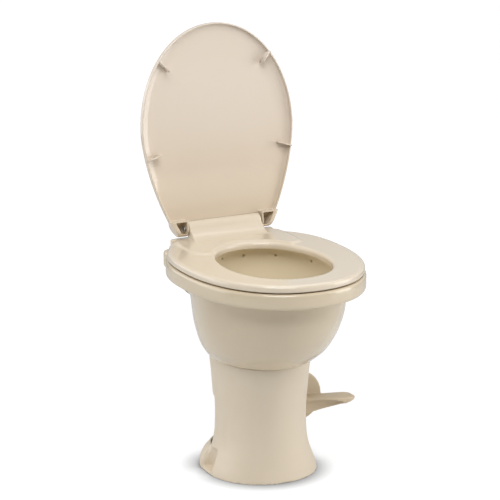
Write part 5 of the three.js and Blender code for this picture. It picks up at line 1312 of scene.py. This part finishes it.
# Reach and depth of the painted contact shadow in the floor's glow
CONTACT_SHADOW_REACH, CONTACT_SHADOW_POWER = 0.045, 2.2
WORLD_STRENGTH, MIRRORED_SHARE = 0.14, 0.5
FLOOR_SIZE, LIGHT_AIM = 60.0, (0, 0, 0.4)
# Name, place to the camera's right, towards the camera and up, size, power
SOFTBOXES = (
    ("Left", (-2.1, 0.2, 0.9), (1.3, 1.9), 12.0),
    ("Left, behind", (-1.9, -0.9, 1.1), (1.3, 1.9), 10.0),
    ("Right", (2.1, 0.2, 0.9), (1.3, 1.9), 25.0),
    ("Top, behind", (0, -1.2, 2.6), (1.8, 1.8), 16.5),
    ("Top, before", (0, 1.6, 2.6), (1.8, 1.8), 55.0),
)


def floor_material():
    """Matt white; seen by the camera it glows, a little dimmer near the object as painted shade and pure
    white away from it, with a painted contact shadow where the object stands close.
    """
    material = bpy.data.materials.new("Pale floor")
    material.use_nodes = True
    tree = material.node_tree
    shader = tree.nodes["Principled BSDF"]
    shader.inputs["Roughness"].default_value = 0.9
    shader.inputs["Specular IOR Level"].default_value = 0.1
    shader.inputs["Emission Color"].default_value = (1, 1, 1, 1)
    reach = tree.nodes.new("ShaderNodeVectorMath")
    reach.operation = "LENGTH"
    tree.links.new(own_place(tree), reach.inputs[0])
    glow = mapped(tree, reach.outputs["Value"], *FLOOR_GLOW, *FLOOR_FADE)
    camera = tree.nodes.new("ShaderNodeLightPath").outputs["Is Camera Ray"]
    tone = blended(tree, camera, opaque([FLOOR_TONE] * 3), opaque([FLOOR_SEEN_TONE] * 3))
    tree.links.new(tone, shader.inputs["Base Color"])
    # Painted contact shadow: the glow seen by the camera is dimmed by the ambient occlusion near the object
    contact = tree.nodes.new("ShaderNodeAmbientOcclusion")
    contact.inputs["Distance"].default_value = CONTACT_SHADOW_REACH
    shade = arithmetic(tree, "POWER", contact.outputs["AO"], CONTACT_SHADOW_POWER)
    seen = arithmetic(tree, "MULTIPLY", camera, glow)
    tree.links.new(arithmetic(tree, "MULTIPLY", seen, shade), shader.inputs["Emission Strength"])
    return material


def area_light(name, place, size, power):
    data = bpy.data.lights.new(name, "AREA")
    data.shape = "RECTANGLE"
    data.size, data.size_y = size
    data.energy = power
    obj = link(bpy.data.objects.new(name, data))
    obj.location = place
    obj.rotation_euler = (Vector(LIGHT_AIM) - place).to_track_quat("-Z", "Y").to_euler()
    return obj


class TOILET_OT_stage(bpy.types.Operator):
    """Sets up the pale floor, the soft studio light and the camera"""

    bl_idname = "toilet.stage"
    bl_label = "Stage"

    def execute(self, context):
        scene = context.scene
        aim = Vector(sizes().camera_aim)
        azimuth, height = sizes().camera_azimuth, sizes().camera_height
        level = math.cos(height)
        back = Vector((math.sin(azimuth) * level, -math.cos(azimuth) * level, math.sin(height)))
        data = bpy.data.cameras.new("Camera")
        data.lens = sizes().camera_lens
        data.sensor_width = 36.0
        data.clip_end = 100.0
        camera = link(bpy.data.objects.new("Camera", data))
        camera.location = aim + back * sizes().camera_distance
        camera.rotation_euler = (-back).to_track_quat("-Z", "Y").to_euler()
        scene.camera = camera
        scene.view_settings.view_transform = "Standard"

        bpy.ops.mesh.primitive_plane_add(size=FLOOR_SIZE)
        floor = context.active_object
        floor.name = "floor"
        floor.data.materials.append(floor_material())

        world = bpy.data.worlds.new("Studio")
        scene.world = world
        world.use_nodes = True
        tree = world.node_tree
        background = tree.nodes["Background"]
        background.inputs["Color"].default_value = (1.0, 1.0, 1.0, 1.0)
        path = tree.nodes.new("ShaderNodeLightPath")
        glossy, camera_ray = path.outputs["Is Glossy Ray"], path.outputs["Is Camera Ray"]
        seen = arithmetic(tree, "MULTIPLY_ADD", glossy, MIRRORED_SHARE, camera_ray)
        strength = tree.nodes.new("ShaderNodeMapRange")
        tree.links.new(seen, strength.inputs["Value"])
        strength.inputs["To Min"].default_value = WORLD_STRENGTH
        strength.inputs["To Max"].default_value = 1.0
        tree.links.new(strength.outputs["Result"], background.inputs["Strength"])

        across = Vector((math.cos(azimuth), math.sin(azimuth), 0))
        towards = Vector((math.sin(azimuth), -math.cos(azimuth), 0))
        for name, (right, near, up), size, power in SOFTBOXES:
            area_light(name, across * right + towards * near + Vector((0, 0, up)), size, power)
        return {"FINISHED"}


OPERATORS = (
    TOILET_OT_stage, TOILET_OT_pedestal, TOILET_OT_bowl, TOILET_OT_seat, TOILET_OT_lid, TOILET_OT_pedal,
    TOILET_OT_works,
)


class TOILET_PT_panel(bpy.types.Panel):
    bl_label = "RV toilet"
    bl_idname = "TOILET_PT_panel"
    bl_space_type = "VIEW_3D"
    bl_region_type = "UI"
    bl_category = "RV toilet"

    def draw(self, context):
        for operator in OPERATORS:
            self.layout.operator(operator.bl_idname)
        for group in (context.scene.toilet_sizes, context.scene.toilet_colours):
            box = self.layout.box()
            for name in group.bl_rna.properties.keys():
                if name not in ("rna_type", "name"):
                    box.prop(group, name)


CLASSES = (ToiletSizes, ToiletColours, *OPERATORS, TOILET_PT_panel)


def register():
    for cls in CLASSES:
        bpy.utils.register_class(cls)
    bpy.types.Scene.toilet_sizes = bpy.props.PointerProperty(type=ToiletSizes)
    bpy.types.Scene.toilet_colours = bpy.props.PointerProperty(type=ToiletColours)


def unregister():
    del bpy.types.Scene.toilet_colours
    del bpy.types.Scene.toilet_sizes
    for cls in reversed(CLASSES):
        bpy.utils.unregister_class(cls)


def main():
    register()
    bpy.ops.toilet.stage()
    bpy.ops.toilet.pedestal()
    bpy.ops.toilet.bowl()
    bpy.ops.toilet.seat()
    bpy.ops.toilet.lid()
    bpy.ops.toilet.pedal()
    bpy.ops.toilet.works()


if __name__ == "__main__":
    main()
